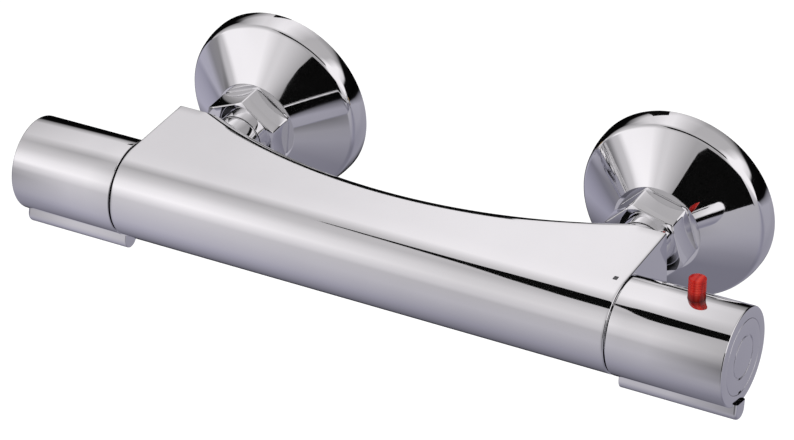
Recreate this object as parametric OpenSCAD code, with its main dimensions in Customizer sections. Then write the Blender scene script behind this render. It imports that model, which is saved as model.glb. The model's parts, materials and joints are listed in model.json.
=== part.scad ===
// Exposed thermostatic shower valve, a bar with a knob at each end, hung on a wall by two unions.
// X runs along the bar to the temperature knob, Y runs into the wall and Z is up.
// The origin is on the finished wall, midway between the two inlets and level with the bar.

/* [Bar] */
// Diameter of the bar and of both knobs
bar_d = 31.8; // [31.6:0.1:32.6]
// Length between the end faces of the two knobs
bar_len = 256.8; // [255:0.2:260]
// Length of the body between the two knobs
body_len = 178.6; // [178:0.2:181]
// Distance from the wall to the axis of the bar
axis_to_wall = 70.1; // [69.5:0.1:73]
// Distance between the axes of the two inlets
inlet_pitch = 150; // [149.6:0.2:151]

/* [Deck] */
// Reach of the flat deck behind the bar's axis, at its two ends
deck_reach = 29.3; // [29:0.1:30]
// Reach of the deck behind the bar's axis, at its waist
waist_reach = 15.1; // [14.6:0.1:15.6]
// Radius of the waist's long arc
waist_r = 182.2; // [181:0.2:184]
// Radius that rounds the waist's wall into the deck's top and underside
waist_fillet = 4; // [3:0.5:4.5]
// Radius that blends the waist into the deck's square ends
deck_blend_r = 15; // [13:0.5:17]

/* [Rosettes and nuts] */
// Diameter of a rosette at the wall
rosette_d = 65.4; // [64:0.2:67]
// Diameter of a rosette's small end
rosette_nose_d = 30.4; // [30:0.1:32]
// Depth of a rosette from the wall to its small end
rosette_depth = 18.6; // [18.2:0.1:19]
// Width of the straight rim at the wall
rosette_rim = 6.6; // [6:0.1:7]
// Wall of the drawn rosette
rosette_wall = 1.2; // [1:0.1:1.4]
// Size of a union nut across its flats
nut_af = 25.6; // [25.2:0.1:26]
// Length of a union nut
nut_len = 10.7; // [10.4:0.1:10.9]

/* [Knobs] */
// Width of the grip bar that runs along a knob
grip_w = 6.6; // [6:0.1:7.2]
// Height of the grip bar's ridge over the knob
grip_h = 4.8; // [4.4:0.1:5.4]
// How far the grip bar stands out of the knob's end face
grip_lip = 1; // [0.8:0.1:1.4]
// Diameter of the cap in a knob's end face
cap_d = 24.2; // [23.6:0.1:24.8]
// Outer diameter of the shallow ring in the cap
cap_ring_d = 14.3; // [13:0.1:15]
// Diameter of the override button
button_d = 5.6; // [5.2:0.1:5.8]
// Height of the override button over the knob
button_h = 7.2; // [6.8:0.1:7.6]
// Distance of the override button from the knob's end face
button_inset = 16.3; // [15.8:0.1:17]
// Travel of the override button
button_travel = 2; // [1.6:0.1:2.1]

/* [Unions and outlet] */
// Depth of thread in the outlet
outlet_depth = 10.6; // [10:0.1:11]
// Length of a union's thread that goes into the wall
wall_thread = 15; // [12:0.5:18]
// Height of the pipes in the wall over the bar's axis
union_offset = 5; // [4:0.5:6]

/* [Hidden] */
$fn = 96;

// Colours
chrome = [0.8, 0.81, 0.83];
brass = [0.78, 0.64, 0.35];
steel = [0.62, 0.64, 0.67];
rubber = [0.1, 0.1, 0.1];
plastic = [0.85, 0.85, 0.8];
ceramic = [0.93, 0.92, 0.88];

// Overrun of every cut, and the clearances of the fits
over = 0.5;
run_gap = 0.05;
seat_gap = 0.05;
ring_gap = 0.03;
pass_gap = 0.4;

// Half-inch pipe thread, drawn at its major and minor diameters
pipe_major_r = 10.4775;
pipe_minor_r = 9.3155;

// Bar and seams
bar_r = bar_d / 2;
half_body = body_len / 2;
half_bar = bar_len / 2;
inlet_x = inlet_pitch / 2;
seam = 0.6;
knob_start = half_body + seam;
spigot_r = 13.2;
spigot_len = 2.6;

// Plan of the deck: its waist is a long arc, blended into the two square ends
waist_cy = waist_reach + waist_r;
blend_cy = deck_reach - deck_blend_r;
blend_cx = sqrt(pow(waist_r + deck_blend_r, 2) - pow(waist_cy - blend_cy, 2));
blend_turn = atan2(blend_cx, waist_cy - blend_cy);
blend_steps = 8;
function right_blend(i) = let (a = 90 + blend_turn * i / blend_steps)
    [blend_cx + deck_blend_r * cos(a), blend_cy + deck_blend_r * sin(a)];
fillet_steps = 8;
fillet_facets = 360;
function fillet_point(i) = let (a = 90 * i / fillet_steps)
    [waist_r + waist_fillet * (1 - sin(a)), bar_r - waist_fillet * (1 - cos(a))];

// Chambers: the thermostat's is on the right and the flow headwork's on the left
chamber_r = 10.4;
mouth_r = 11.2;
mouth_depth = 6.3;
seat_x = half_body - mouth_depth;
thermo_end = 29.5;
flow_end = 45;
recess_r = 4.6;
recess_depth = 3;

// Waterways
gallery_wall = 1.4;
gallery_r = 2.4;
gallery_y = waist_reach - gallery_wall - gallery_r;
gallery_z = bar_r - gallery_wall - gallery_r;
riser_r = 2.2;
link_r = 2;
supply_r = 3;
supply_z = 3.2;
drain_r = 1.8;
drain_ring_r = 8.4;
drain_step = 35;
inlet_bore_r = 6.5;
inlet_bore_run = 4.2;
cold_drill_r = 2.9;
outlet_face_r = 12;
outlet_face_z = 12.3;

// Inlet tails and unions
tail_shank_r = 10.35;
tail_shank_len = 10.8;
tail_hole_len = 11;
tail_boss_r = 12.6;
tail_collar_r = 11.8;
tail_collar_len = 3;
tail_neck_r = 8.3;
tail_flange_r = 10.2;
tail_flange_len = 2.05;
tail_groove_in = 0.8;
tail_groove_len = 2.2;
tail_ring_wire = 0.9;
tail_groove_r = 8.5;
washer_len = 2;
washer_bore_r = 6.9;
nut_gap = 0.1;
nut_lip = 2.2;
nut_hole_r = 8.45;
nut_chamfer = 0.8;
nut_face_r = 13.3;
nut_turn_hot = 22;
nut_turn_cold = 44.5;
union_bore_r = 7;
union_collar_r = 11.6;
union_shank_r = 10.43;
union_lap = 3;
union_mid = 7.5;
rosette_nose_y = axis_to_wall - rosette_depth;
rosette_rim_y = axis_to_wall - rosette_rim;
rosette_round = 0.8;
rosette_web = 2;
nut_back = rosette_nose_y - nut_gap;
nut_front = nut_back - nut_len;
tail_end = nut_front + nut_lip + tail_flange_len + seat_gap;
union_start = tail_end + washer_len;

// Check valves, one in each tail
cage_len = 13;
cage_r = inlet_bore_r - seat_gap;
cage_bore_r = 5.6;
cage_seat_r = 4.2;
cage_seat_len = 1.5;
guide_in = 2;
guide_len = 2;
guide_hub_r = 2.2;
guide_arm_w = 1.4;
poppet_r = 4.9;
poppet_len = 1.7;
poppet_stem_r = 1.2;
poppet_stem_len = 8.6;
poppet_gap = 0.1;
check_wire = 0.4;
check_coil_r = 2.3;
check_turns = 5;
cage_start = tail_end - cage_len;
guide_end = cage_start + guide_in + guide_len;
poppet_front = tail_end - cage_seat_len - poppet_gap;

// Thermostat cartridge
port_pitch = 21;
port_half = 3.5;
port_hole_r = 2;
port_holes = 6;
cold_x = inlet_x;
hot_x = inlet_x - port_pitch;
housing_r = chamber_r - seat_gap;
housing_start = 36;
housing_bore_r = 7.6;
port_groove_r = 9;
flange_r = mouth_r - seat_gap;
flange_len = 2;
neck_r = 7.4;
neck_out = 9.7;
neck_end = half_body + neck_out;
nut_bore_r = 5.2;
step_x = inlet_x + port_half + seat_gap;
o_ring_wire = 1.1;
o_ring_seat = 1.25;
o_ring_floor = 2.25;
o_ring_hot = 8.3;
o_ring_cold = 5.8;
strainer_out_r = 9.9;
locknut_len = 5;
locknut_hex_af = 18.4;
locknut_hex_len = 4;
end_cap_r = 9.5;
end_cap_len = 2.5;
end_cap_plug = 2;
end_cap_hole_r = 3.6;
spindle_r = 3.9;
spindle_end_in = 10.4;
spindle_flange_r = 5.1;
spindle_flange_len = 2.3;
spindle_thread_r = 3.2;
spindle_thread_len = 6.1;
end_wall = 4;
spindle_ring_in = 1.2;
spindle_ring_len = 1.6;
spindle_ring_floor = 2.9;
spindle_ring_wire = 0.5;
nut_thread_r = 3.25;
regulator_len = 12;
regulator_gap = 1;
cavity_len = 6.4;
cavity_r = 4.4;
cup_r = 4.3;
cup_len = 2.2;
cup_inset = 0.4;
cup_recess = 0.9;
pin_r = 1.1;
wax_r = 4;
wax_start_in = 4;
wax_len = 19;
wax_neck_r = 2.6;
wax_neck_len = 5;
shuttle_len = 11.6;
shuttle_wall = 1;
shuttle_web_len = 3;
shuttle_web_in = 4;
shuttle_hole_r = 0.8;
shuttle_hole_ring_r = 5.6;
return_wire = 0.9;
return_coil_r = 5.4;
return_turns = 7;
overload_wire = 0.6;
overload_coil_r = 3.4;
overload_turns = 4;
stop_in = 3.5;
stop_r = 9.2;
lug_len = 3;
lug_gap = 0.6;
lug_bore_r = 7.45;

// Knobs
knob_wall = 2.3;
end_wall_len = 4.2;
cap_len = 1.2;
cap_ring_w = 0.55;
cap_ring_depth = 0.3;
cap_notch_w = 2;
cap_notch_depth = 0.8;
hub_r = 6.9;
hub_bore_r = 5.45;
hub_in = 15;
web_len = 3;
adapter_r = 5.4;
adapter_start = 0.5;
adapter_flange_len = 2;
screw_r = 1.95;
screw_len = 15.6;
screw_head_r = 3.7;
screw_head_len = 2.2;
screw_recess_r = 4.2;
screw_socket_r = 1.6;
screw_socket_depth = 1.3;
boss_r = 4.6;
boss_drop = 1.5;
button_ribs = 4;
button_rib_depth = 0.15;
button_dome = 0.7;
button_flange_r = 3.7;
button_flange_len = 1;
override_wire = 0.4;
override_coil_r = 2.2;
override_turns = 3;
knob_bore_r = bar_r - knob_wall;
web_end = half_bar - cap_len - screw_head_len - pass_gap;
web_start = web_end - web_len;
adapter_end = web_start - seat_gap;
spindle_end = half_bar - spindle_end_in;
screw_start = web_end - screw_len;
button_x = half_bar - button_inset;
button_hole_r = button_d / 2 + run_gap;
boss_low = knob_bore_r - boss_drop;
button_low = boss_low - button_flange_len - run_gap;
hub_start = knob_start + hub_in;

// Angles about the bar's axis, from the wall's side toward the top
temperature_grip = -102;
flow_grip = -107.5;
button_angle = 83.5;
temperature_cold = 190;
temperature_hot = 70;
flow_open = 90;
stop_spare = 2;
lug_half = 20;
flow_lug = flow_grip + 180;

// Flow headwork
head_nose_r = 8.6;
head_nose_in = 1.2;
head_nose_bore_r = 6.85;
head_lip_bore_r = 6.45;
head_piston_start = 70;
head_o_ring = 5;
head_hex_af = 19;
head_hex_len = 4.5;
window_len = 4;
window_w = 5;
seal_r = 6.4;
seal_bore_r = 4.6;
seal_len = 3;
disc_r = 6.8;
disc_len = 3.2;
disc_port_r = 1.5;
disc_port_ring_r = 3;
foot_r = 6.2;
foot_len = 3.4;
head_ring_pitch = 2.6;
circlip_len = 1;
circlip_r = 6;
circlip_bore_r = 3.5;
circlip_gap_w = 3;
seal_start = flow_end;
fixed_start = seal_start + seal_len;
moving_start = fixed_start + disc_len;
foot_start = moving_start + disc_len;
stem_start = foot_start + foot_len;

// Index mark on the deck
mark_x0 = 4.2;
mark_len = 1.5;
mark_y0 = -0.5;
mark_w = 1.9;
mark_depth = 0.5;
mark_sink = 0.02;

// Springs' facets
wire_sides = 6;
turn_steps = 20;

// Everything is drawn about the bar's axis and then set out from the wall
module at_bar() {
    translate([0, -axis_to_wall, 0]) children();
}

module left() {
    mirror([1, 0, 0]) children();
}

module xcyl(x0, x1, r, y = 0, z = 0) {
    translate([x0, y, z]) rotate([0, 90, 0]) cylinder(h = x1 - x0, r = r);
}

module ycyl(y0, y1, r, x = 0, z = 0) {
    translate([x, y0, z]) rotate([-90, 0, 0]) cylinder(h = y1 - y0, r = r);
}

module zcyl(z0, z1, r, x = 0, y = 0) {
    translate([x, y, z0]) cylinder(h = z1 - z0, r = r);
}

module xtube(x0, x1, r, bore) {
    difference() {
        xcyl(x0, x1, r);
        xcyl(x0 - over, x1 + over, bore);
    }
}

// Turned shapes, whose points are [place along the axis, radius]
module xturn(points) {
    rotate([0, 90, 0]) rotate_extrude() polygon([for (p = points) [p[1], p[0]]]);
}

module yturn(points) {
    rotate([-90, 0, 0]) rotate_extrude() polygon([for (p = points) [p[1], p[0]]]);
}

module xhex(x0, x1, af) {
    translate([x0, 0, 0]) rotate([0, 90, 0]) cylinder(h = x1 - x0, r = af / 2 / cos(30), $fn = 6);
}

module x_o_ring(x, r_out, wire) {
    translate([x, 0, 0]) rotate([0, 90, 0]) rotate_extrude() translate([r_out - wire, 0]) circle(r = wire, $fn = 32);
}

// A wedge about the X axis between two angles, to cut lugs with
module xwedge(x0, x1, r, a0, a1) {
    steps = max(2, ceil((a1 - a0) / 30));
    fan = [for (i = [0 : steps]) let (a = a0 + (a1 - a0) * i / steps) [r * cos(a), r * sin(a)]];
    translate([x0, 0, 0])
        multmatrix([[0, 0, 1, 0], [1, 0, 0, 0], [0, 1, 0, 0], [0, 0, 0, 1]])
            linear_extrude(x1 - x0) polygon(concat([[0, 0]], fan));
}

// A coil along Z from 0 to its length
function coil_point(r, length, wire, turns, i, j) = let (a = 360 * i / turn_steps, b = 360 * j / wire_sides)
    [(r + wire / 2 * cos(b)) * cos(a), (r + wire / 2 * cos(b)) * sin(a),
        wire / 2 + (length - wire) * i / (turns * turn_steps) + wire / 2 * sin(b)];

module coil(r, length, wire, turns) {
    steps = turns * turn_steps;
    sides = wire_sides;
    points = [for (i = [0 : steps]) for (j = [0 : sides - 1]) coil_point(r, length, wire, turns, i, j)];
    skin = [for (i = [0 : steps - 1]) for (j = [0 : sides - 1]) for (half = [0, 1])
        let (a = i * sides + j, b = i * sides + (j + 1) % sides)
        half == 0 ? [a, b, b + sides] : [a, b + sides, a + sides]];
    first = [[for (j = [sides - 1 : -1 : 0]) j]];
    last = [[for (j = [0 : sides - 1]) steps * sides + j]];
    polyhedron(points = points, faces = concat(skin, first, last));
}

// The last point of each blend is left to the waist's cut, so that the two meet at a clean crossing
module deck_plan() {
    right = [for (i = [0 : blend_steps - 1]) right_blend(i)];
    left_side = [for (i = [blend_steps - 1 : -1 : 0]) [-right[i][0], right[i][1]]];
    polygon(concat([[-half_body, 0], [half_body, 0], [half_body, deck_reach]], right, left_side,
        [[-half_body, deck_reach]]));
}

module waist_cut() {
    arc = [for (i = [0 : fillet_steps]) fillet_point(i)];
    lead = arc[0] + (arc[0] - arc[1]) * over / (arc[0][1] - arc[1][1]);
    top = concat([[0, lead[1]], lead], arc);
    under = [for (i = [len(top) - 1 : -1 : 0]) [top[i][0], -top[i][1]]];
    translate([0, waist_cy, 0]) rotate_extrude($fn = fillet_facets) polygon(concat(top, under));
}

module body_shell() {
    difference() {
        xcyl(-half_body, half_body, bar_r);
        translate([-half_body - over, 0, -bar_r - over])
            cube([body_len + 2 * over, bar_r + over, 2 * (bar_r + over)]);
    }
    translate([0, 0, -bar_r]) linear_extrude(bar_d) deck_plan();
    for (side = [0, 1]) mirror([side, 0, 0]) {
        xcyl(half_body - over, half_body + spigot_len, spigot_r);
        ycyl(deck_reach - tail_hole_len - inlet_bore_run, deck_reach, tail_boss_r, inlet_x);
    }
}

module inlet_cuts() {
    for (side = [0, 1]) mirror([side, 0, 0]) {
        ycyl(deck_reach - tail_hole_len, deck_reach + over, tail_shank_r + seat_gap, inlet_x);
        ycyl(deck_reach - tail_hole_len - inlet_bore_run, deck_reach, inlet_bore_r, inlet_x);
        xcyl(seat_x, half_body + spigot_len + over, mouth_r);
    }
}

module waterways() {
    xcyl(thermo_end, half_body, chamber_r);
    left() xcyl(flow_end, half_body, chamber_r);
    left() xcyl(flow_end - recess_depth, half_body, recess_r);
    xcyl(recess_depth - flow_end, thermo_end + over, supply_r, 0, supply_z);
    ycyl(0, deck_reach - tail_hole_len, cold_drill_r, cold_x);
    riser_y = deck_reach - tail_hole_len - inlet_bore_run / 2;
    zcyl(0, gallery_z + riser_r, riser_r, -inlet_x, riser_y);
    ycyl(gallery_y, riser_y, link_r, -inlet_x, gallery_z);
    xcyl(-inlet_x - gallery_r, hot_x + gallery_r, gallery_r, gallery_y, gallery_z);
    rotate([atan2(gallery_z, gallery_y), 0, 0]) ycyl(0, norm([gallery_y, gallery_z]), link_r, hot_x);
    zcyl(-bar_r - over, outlet_depth - outlet_face_z, pipe_minor_r);
    zcyl(-bar_r - over, -outlet_face_z, outlet_face_r);
    for (i = [-1 : 1]) rotate([i * drain_step, 0, 0]) xcyl(-flow_end - over, -link_r, drain_r, 0, -drain_ring_r);
}

module valve_body() {
    color(chrome) at_bar() difference() {
        body_shell();
        waist_cut();
        inlet_cuts();
        waterways();
        mark_block(over, 0);
    }
}

module mark_block(rise, inset) {
    translate([half_body - mark_x0 + inset, mark_y0 + inset, bar_r - mark_depth])
        cube([mark_len - 2 * inset, mark_w - 2 * inset, mark_depth + rise]);
}

module index_mark() {
    color(rubber) at_bar() mark_block(-mark_sink, mark_sink);
}

// Inlet tails, unions and rosettes, drawn on the bar's axis height at x = 0 and then set at an inlet
module at_inlet(side) {
    at_bar() translate([side * inlet_x, 0, 0]) children();
}

module inlet_tail() {
    groove = deck_reach - tail_groove_in;
    color(chrome) difference() {
        yturn([[deck_reach - tail_shank_len, 0], [deck_reach - tail_shank_len, tail_shank_r],
            [groove - tail_groove_len, tail_shank_r], [groove - tail_groove_len, tail_groove_r],
            [groove, tail_groove_r], [groove, tail_shank_r], [deck_reach, tail_shank_r],
            [deck_reach, tail_collar_r], [deck_reach + tail_collar_len, tail_collar_r],
            [deck_reach + tail_collar_len, tail_neck_r], [tail_end - tail_flange_len, tail_neck_r],
            [tail_end - tail_flange_len, tail_flange_r], [tail_end, tail_flange_r], [tail_end, 0]]);
        ycyl(deck_reach - tail_shank_len - over, tail_end + over, inlet_bore_r);
    }
}

module inlet_tail_hot() {
    at_inlet(-1) inlet_tail();
}

module inlet_tail_cold() {
    at_inlet(1) inlet_tail();
}

module inlet_tail_seals() {
    ring_y = deck_reach - tail_groove_in - tail_groove_len / 2;
    color(rubber) for (side = [-1, 1]) at_inlet(side) translate([0, ring_y, 0]) rotate([-90, 0, 0]) rotate_extrude()
        translate([tail_shank_r + seat_gap - ring_gap - tail_ring_wire, 0]) circle(r = tail_ring_wire, $fn = 32);
}

module union_nut(turn) {
    color(chrome) difference() {
        intersection() {
            rotate([0, -turn, 0]) translate([0, nut_front, 0]) rotate([-90, 0, 0])
                cylinder(h = nut_len, r = nut_af / 2 / cos(30), $fn = 6);
            yturn([[nut_front, 0], [nut_front, nut_face_r], [nut_front + nut_chamfer, nut_face_r + 2 * nut_chamfer],
                [nut_back - nut_chamfer, nut_face_r + 2 * nut_chamfer], [nut_back, nut_face_r], [nut_back, 0]]);
        }
        ycyl(nut_front - over, nut_back, nut_hole_r);
        ycyl(nut_front + nut_lip, nut_back + over, pipe_major_r + seat_gap);
    }
}

module union_nut_hot() {
    at_inlet(-1) union_nut(nut_turn_hot);
}

module union_nut_cold() {
    at_inlet(1) union_nut(nut_turn_cold);
}

module union_washers() {
    color(rubber) for (side = [-1, 1]) at_inlet(side) difference() {
        ycyl(tail_end, union_start, tail_flange_r);
        ycyl(tail_end - over, union_start + over, washer_bore_r);
    }
}

module eccentric_union() {
    color(brass) difference() {
        union() {
            ycyl(union_start, rosette_nose_y + over, union_shank_r);
            ycyl(rosette_nose_y, rosette_nose_y + union_mid + union_lap, union_collar_r);
            ycyl(rosette_nose_y + union_mid, axis_to_wall, union_collar_r, 0, union_offset);
            ycyl(axis_to_wall - over, axis_to_wall + wall_thread, pipe_major_r, 0, union_offset);
        }
        ycyl(union_start - over, rosette_nose_y + union_mid + union_lap / 2, union_bore_r);
        ycyl(rosette_nose_y + union_mid, axis_to_wall + wall_thread + over, union_bore_r, 0, union_offset);
    }
}

module eccentric_union_hot() {
    at_inlet(-1) eccentric_union();
}

module eccentric_union_cold() {
    at_inlet(1) eccentric_union();
}

module rosette() {
    rim_r = rosette_d / 2;
    nose_r = rosette_nose_d / 2;
    cone_r = rim_r - rosette_round;
    inner_rim = rim_r - rosette_wall;
    color(chrome) yturn([[rosette_nose_y, union_collar_r + seat_gap], [rosette_nose_y, nose_r],
        [rosette_rim_y - rosette_round, cone_r], [rosette_rim_y, rim_r], [axis_to_wall, rim_r],
        [axis_to_wall, inner_rim], [rosette_rim_y + rosette_wall / 2, inner_rim],
        [rosette_nose_y + rosette_web, nose_r + rosette_wall / 2],
        [rosette_nose_y + rosette_web, union_collar_r + seat_gap]]);
}

module rosette_hot() {
    at_inlet(-1) rosette();
}

module rosette_cold() {
    at_inlet(1) rosette();
}

module check_valve_cage() {
    color(plastic) difference() {
        union() {
            difference() {
                ycyl(cage_start, tail_end, cage_r);
                ycyl(cage_start - over, tail_end - cage_seat_len, cage_bore_r);
                ycyl(cage_start - over, tail_end + over, cage_seat_r);
            }
            ycyl(cage_start + guide_in, guide_end, guide_hub_r);
            for (i = [0 : 2]) rotate([0, 120 * i, 0]) translate([-guide_arm_w / 2, cage_start + guide_in, 0])
                cube([guide_arm_w, guide_len, (cage_r + cage_bore_r) / 2]);
        }
        ycyl(cage_start - over, guide_end + over, poppet_stem_r + run_gap);
    }
}

module check_valve_cage_hot() {
    at_inlet(-1) check_valve_cage();
}

module check_valve_cage_cold() {
    at_inlet(1) check_valve_cage();
}

module check_poppet() {
    color(plastic) {
        ycyl(poppet_front - poppet_len, poppet_front, poppet_r);
        ycyl(poppet_front - poppet_len - poppet_stem_len, poppet_front - poppet_len + over, poppet_stem_r);
    }
}

module check_poppet_hot() {
    at_inlet(-1) check_poppet();
}

module check_poppet_cold() {
    at_inlet(1) check_poppet();
}

module check_spring() {
    color(steel) translate([0, guide_end, 0]) rotate([-90, 0, 0])
        coil(check_coil_r, poppet_front - poppet_len - guide_end, check_wire, check_turns);
}

module check_spring_hot() {
    at_inlet(-1) check_spring();
}

module check_spring_cold() {
    at_inlet(1) check_spring();
}

// Thermostat cartridge
function ring_places() = [hot_x - o_ring_hot, (hot_x + cold_x) / 2, cold_x + o_ring_cold];

module thermostat_housing() {
    color(brass) at_bar() difference() {
        union() {
            xcyl(housing_start, seat_x + over, housing_r);
            xcyl(seat_x, seat_x + flange_len, flange_r);
            xcyl(seat_x + flange_len - over, neck_end, neck_r);
        }
        for (x = [hot_x, cold_x]) {
            xtube(x - port_half, x + port_half, chamber_r + over, port_groove_r);
            for (i = [0 : port_holes - 1]) rotate([360 / port_holes * i, 0, 0]) zcyl(0, chamber_r, port_hole_r, x);
        }
        for (x = ring_places()) xtube(x - o_ring_seat, x + o_ring_seat, chamber_r + over, housing_r - o_ring_floor);
        xcyl(housing_start - over, step_x, housing_bore_r);
        xcyl(housing_start, neck_end - end_wall, nut_bore_r);
        xcyl(neck_end - end_wall - over, neck_end + over, spindle_r + run_gap);
    }
}

module thermostat_locknut() {
    start = seat_x + flange_len;
    color(brass) at_bar() difference() {
        union() {
            xcyl(start, start + locknut_len, flange_r);
            xhex(start + locknut_len - over, start + locknut_len + locknut_hex_len, locknut_hex_af);
        }
        xcyl(start - over, start + locknut_len + locknut_hex_len + over, neck_r + seat_gap);
    }
}

module thermostat_end_cap() {
    color(plastic) at_bar() difference() {
        union() {
            xcyl(housing_start - end_cap_len, housing_start, end_cap_r);
            xcyl(housing_start - over, housing_start + end_cap_plug, housing_bore_r - seat_gap);
        }
        xcyl(housing_start - end_cap_len - over, housing_start + end_cap_plug + over, end_cap_hole_r);
    }
}

module thermostat_o_rings() {
    color(rubber) at_bar() for (x = ring_places()) x_o_ring(x, chamber_r - ring_gap, o_ring_wire);
}

module thermostat_strainers() {
    color(steel) at_bar() for (x = [hot_x, cold_x])
        xtube(x - port_half + seat_gap, x + port_half - seat_gap, strainer_out_r, port_groove_r + seat_gap);
}

module thermostat_spindle() {
    top = neck_end - end_wall - run_gap;
    ring = neck_end - end_wall + spindle_ring_in;
    color(brass) at_bar() difference() {
        xturn([[top - spindle_flange_len - spindle_thread_len, 0],
            [top - spindle_flange_len - spindle_thread_len, spindle_thread_r],
            [top - spindle_flange_len, spindle_thread_r], [top - spindle_flange_len, spindle_flange_r],
            [top, spindle_flange_r], [top, spindle_r], [ring, spindle_r], [ring, spindle_ring_floor],
            [ring + spindle_ring_len, spindle_ring_floor], [ring + spindle_ring_len, spindle_r],
            [spindle_end, spindle_r], [spindle_end, 0]]);
        xcyl(screw_start - over, spindle_end + over, screw_r + seat_gap);
    }
}

module thermostat_spindle_o_ring() {
    color(rubber) at_bar() x_o_ring(neck_end - end_wall + spindle_ring_in + spindle_ring_len / 2, spindle_r,
        spindle_ring_wire);
}

regulator_end = neck_end - end_wall - run_gap - spindle_flange_len - regulator_gap;
regulator_start = regulator_end - regulator_len;
cavity_end = regulator_start + cavity_len;
cup_start = regulator_start + cup_inset;
wax_start = hot_x - wax_start_in;
shuttle_start = (hot_x + cold_x - shuttle_len) / 2;
web_x = shuttle_start + shuttle_web_in;

module regulating_nut() {
    color(brass) at_bar() difference() {
        xcyl(regulator_start, regulator_end, nut_bore_r - run_gap);
        xcyl(regulator_start - over, cavity_end, cavity_r);
        xcyl(regulator_start, regulator_end + over, nut_thread_r);
    }
}

module overload_spring() {
    color(steel) at_bar() translate([cup_start + cup_len, 0, 0]) rotate([0, 90, 0])
        coil(overload_coil_r, cavity_end - cup_start - cup_len, overload_wire, overload_turns);
}

module overload_cup() {
    color(brass) at_bar() difference() {
        xcyl(cup_start, cup_start + cup_len, cup_r);
        xcyl(cup_start - over, cup_start + cup_recess, pin_r + seat_gap);
    }
}

module wax_element() {
    wax_end = wax_start + wax_len;
    color(brass) at_bar() xturn([[wax_start, 0], [wax_start, wax_r], [wax_end, wax_r], [wax_end, wax_neck_r],
        [wax_end + wax_neck_len, wax_neck_r], [wax_end + wax_neck_len, pin_r],
        [cup_start + cup_recess, pin_r], [cup_start + cup_recess, 0]]);
}

module mixing_shuttle() {
    shuttle_r = housing_bore_r - run_gap;
    color(plastic) at_bar() difference() {
        xcyl(shuttle_start, shuttle_start + shuttle_len, shuttle_r);
        xcyl(shuttle_start - over, web_x, shuttle_r - shuttle_wall);
        xcyl(web_x + shuttle_web_len, shuttle_start + shuttle_len + over, shuttle_r - shuttle_wall);
        xcyl(web_x - over, web_x + shuttle_web_len + over, wax_r + seat_gap);
        for (i = [0 : port_holes - 1]) rotate([360 / port_holes * i, 0, 0])
            xcyl(web_x - over, web_x + shuttle_web_len + over, shuttle_hole_r, 0, shuttle_hole_ring_r);
    }
}

module return_spring() {
    start = housing_start + end_cap_plug;
    color(steel) at_bar() translate([start, 0, 0]) rotate([0, 90, 0])
        coil(return_coil_r, web_x - start, return_wire, return_turns);
}

// A stop ring on the neck, whose lug stops the adapter's lug at both ends of the travel
module stop_ring(low, high) {
    lug_start = neck_end - over;
    color(plastic) union() {
        xtube(neck_end - stop_in, neck_end, stop_r, neck_r + seat_gap);
        intersection() {
            xtube(lug_start, neck_end + lug_len, stop_r, lug_bore_r);
            xwedge(lug_start - over, neck_end + lug_len + over, 2 * stop_r, low, high);
        }
    }
}

module adapter(angle) {
    plate = neck_end + lug_len + lug_gap;
    color(plastic) difference() {
        union() {
            xcyl(neck_end + adapter_start + circlip_len + lug_gap, adapter_end, adapter_r);
            xcyl(plate, plate + adapter_flange_len, stop_r);
            intersection() {
                xtube(neck_end + lug_gap, plate + over, stop_r, lug_bore_r);
                xwedge(neck_end, plate + 2 * over, 2 * stop_r, angle - lug_half, angle + lug_half);
            }
        }
        xcyl(neck_end, adapter_end + over, spindle_r + seat_gap);
    }
}

module temperature_stop_ring() {
    at_bar() stop_ring(button_angle + lug_half + temperature_hot + stop_spare,
        button_angle - lug_half - temperature_cold - stop_spare + 360);
}

module temperature_adapter() {
    at_bar() adapter(button_angle);
}

module knob_shell(grip_angle) {
    difference() {
        union() {
            xcyl(knob_start, half_bar, bar_r);
            rotate([grip_angle, 0, 0]) {
                translate([knob_start, knob_bore_r + over, -grip_w / 2])
                    cube([half_bar + grip_lip - knob_start, bar_r + grip_h - grip_w / 2 - knob_bore_r - over, grip_w]);
                xcyl(knob_start, half_bar + grip_lip, grip_w / 2, bar_r + grip_h - grip_w / 2);
            }
        }
        difference() {
            xcyl(knob_start - over, web_end, knob_bore_r);
            xcyl(hub_start, web_end + over, hub_r);
            xcyl(half_bar - end_wall_len, web_end + over, bar_r);
        }
        xcyl(hub_start - over, web_start, hub_bore_r);
        xcyl(web_start - over, web_end + over, screw_r + seat_gap);
        xcyl(web_end, half_bar, screw_recess_r);
        xcyl(half_bar - cap_len, half_bar + over, cap_d / 2 + seat_gap);
    }
}

module knob_cap(turn) {
    ring_r = cap_ring_d / 2;
    color(chrome) rotate([turn, 0, 0]) difference() {
        xcyl(half_bar - cap_len, half_bar, cap_d / 2);
        xtube(half_bar - cap_ring_depth, half_bar + over, ring_r, ring_r - cap_ring_w);
        translate([half_bar - cap_len - over, cap_d / 2 - cap_notch_depth, -cap_notch_w / 2])
            cube([cap_len + 2 * over, cap_notch_w, cap_notch_w]);
    }
}

module knob_screw() {
    color(steel) difference() {
        union() {
            xcyl(screw_start, web_end, screw_r);
            xcyl(web_end, web_end + screw_head_len, screw_head_r);
        }
        xhex(web_end + screw_head_len - screw_socket_depth, web_end + screw_head_len + over, 2 * screw_socket_r);
    }
}

module temperature_knob() {
    color(chrome) at_bar() difference() {
        union() {
            knob_shell(temperature_grip);
            rotate([button_angle, 0, 0]) intersection() {
                ycyl(boss_low, bar_r, boss_r, button_x);
                xcyl(knob_start, half_bar - cap_len, knob_bore_r + over);
            }
        }
        rotate([button_angle, 0, 0]) ycyl(hub_r + over, bar_r + over, button_hole_r, button_x);
    }
}

module temperature_knob_screw() {
    at_bar() knob_screw();
}

module temperature_knob_cap() {
    at_bar() knob_cap(temperature_grip);
}

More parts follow.
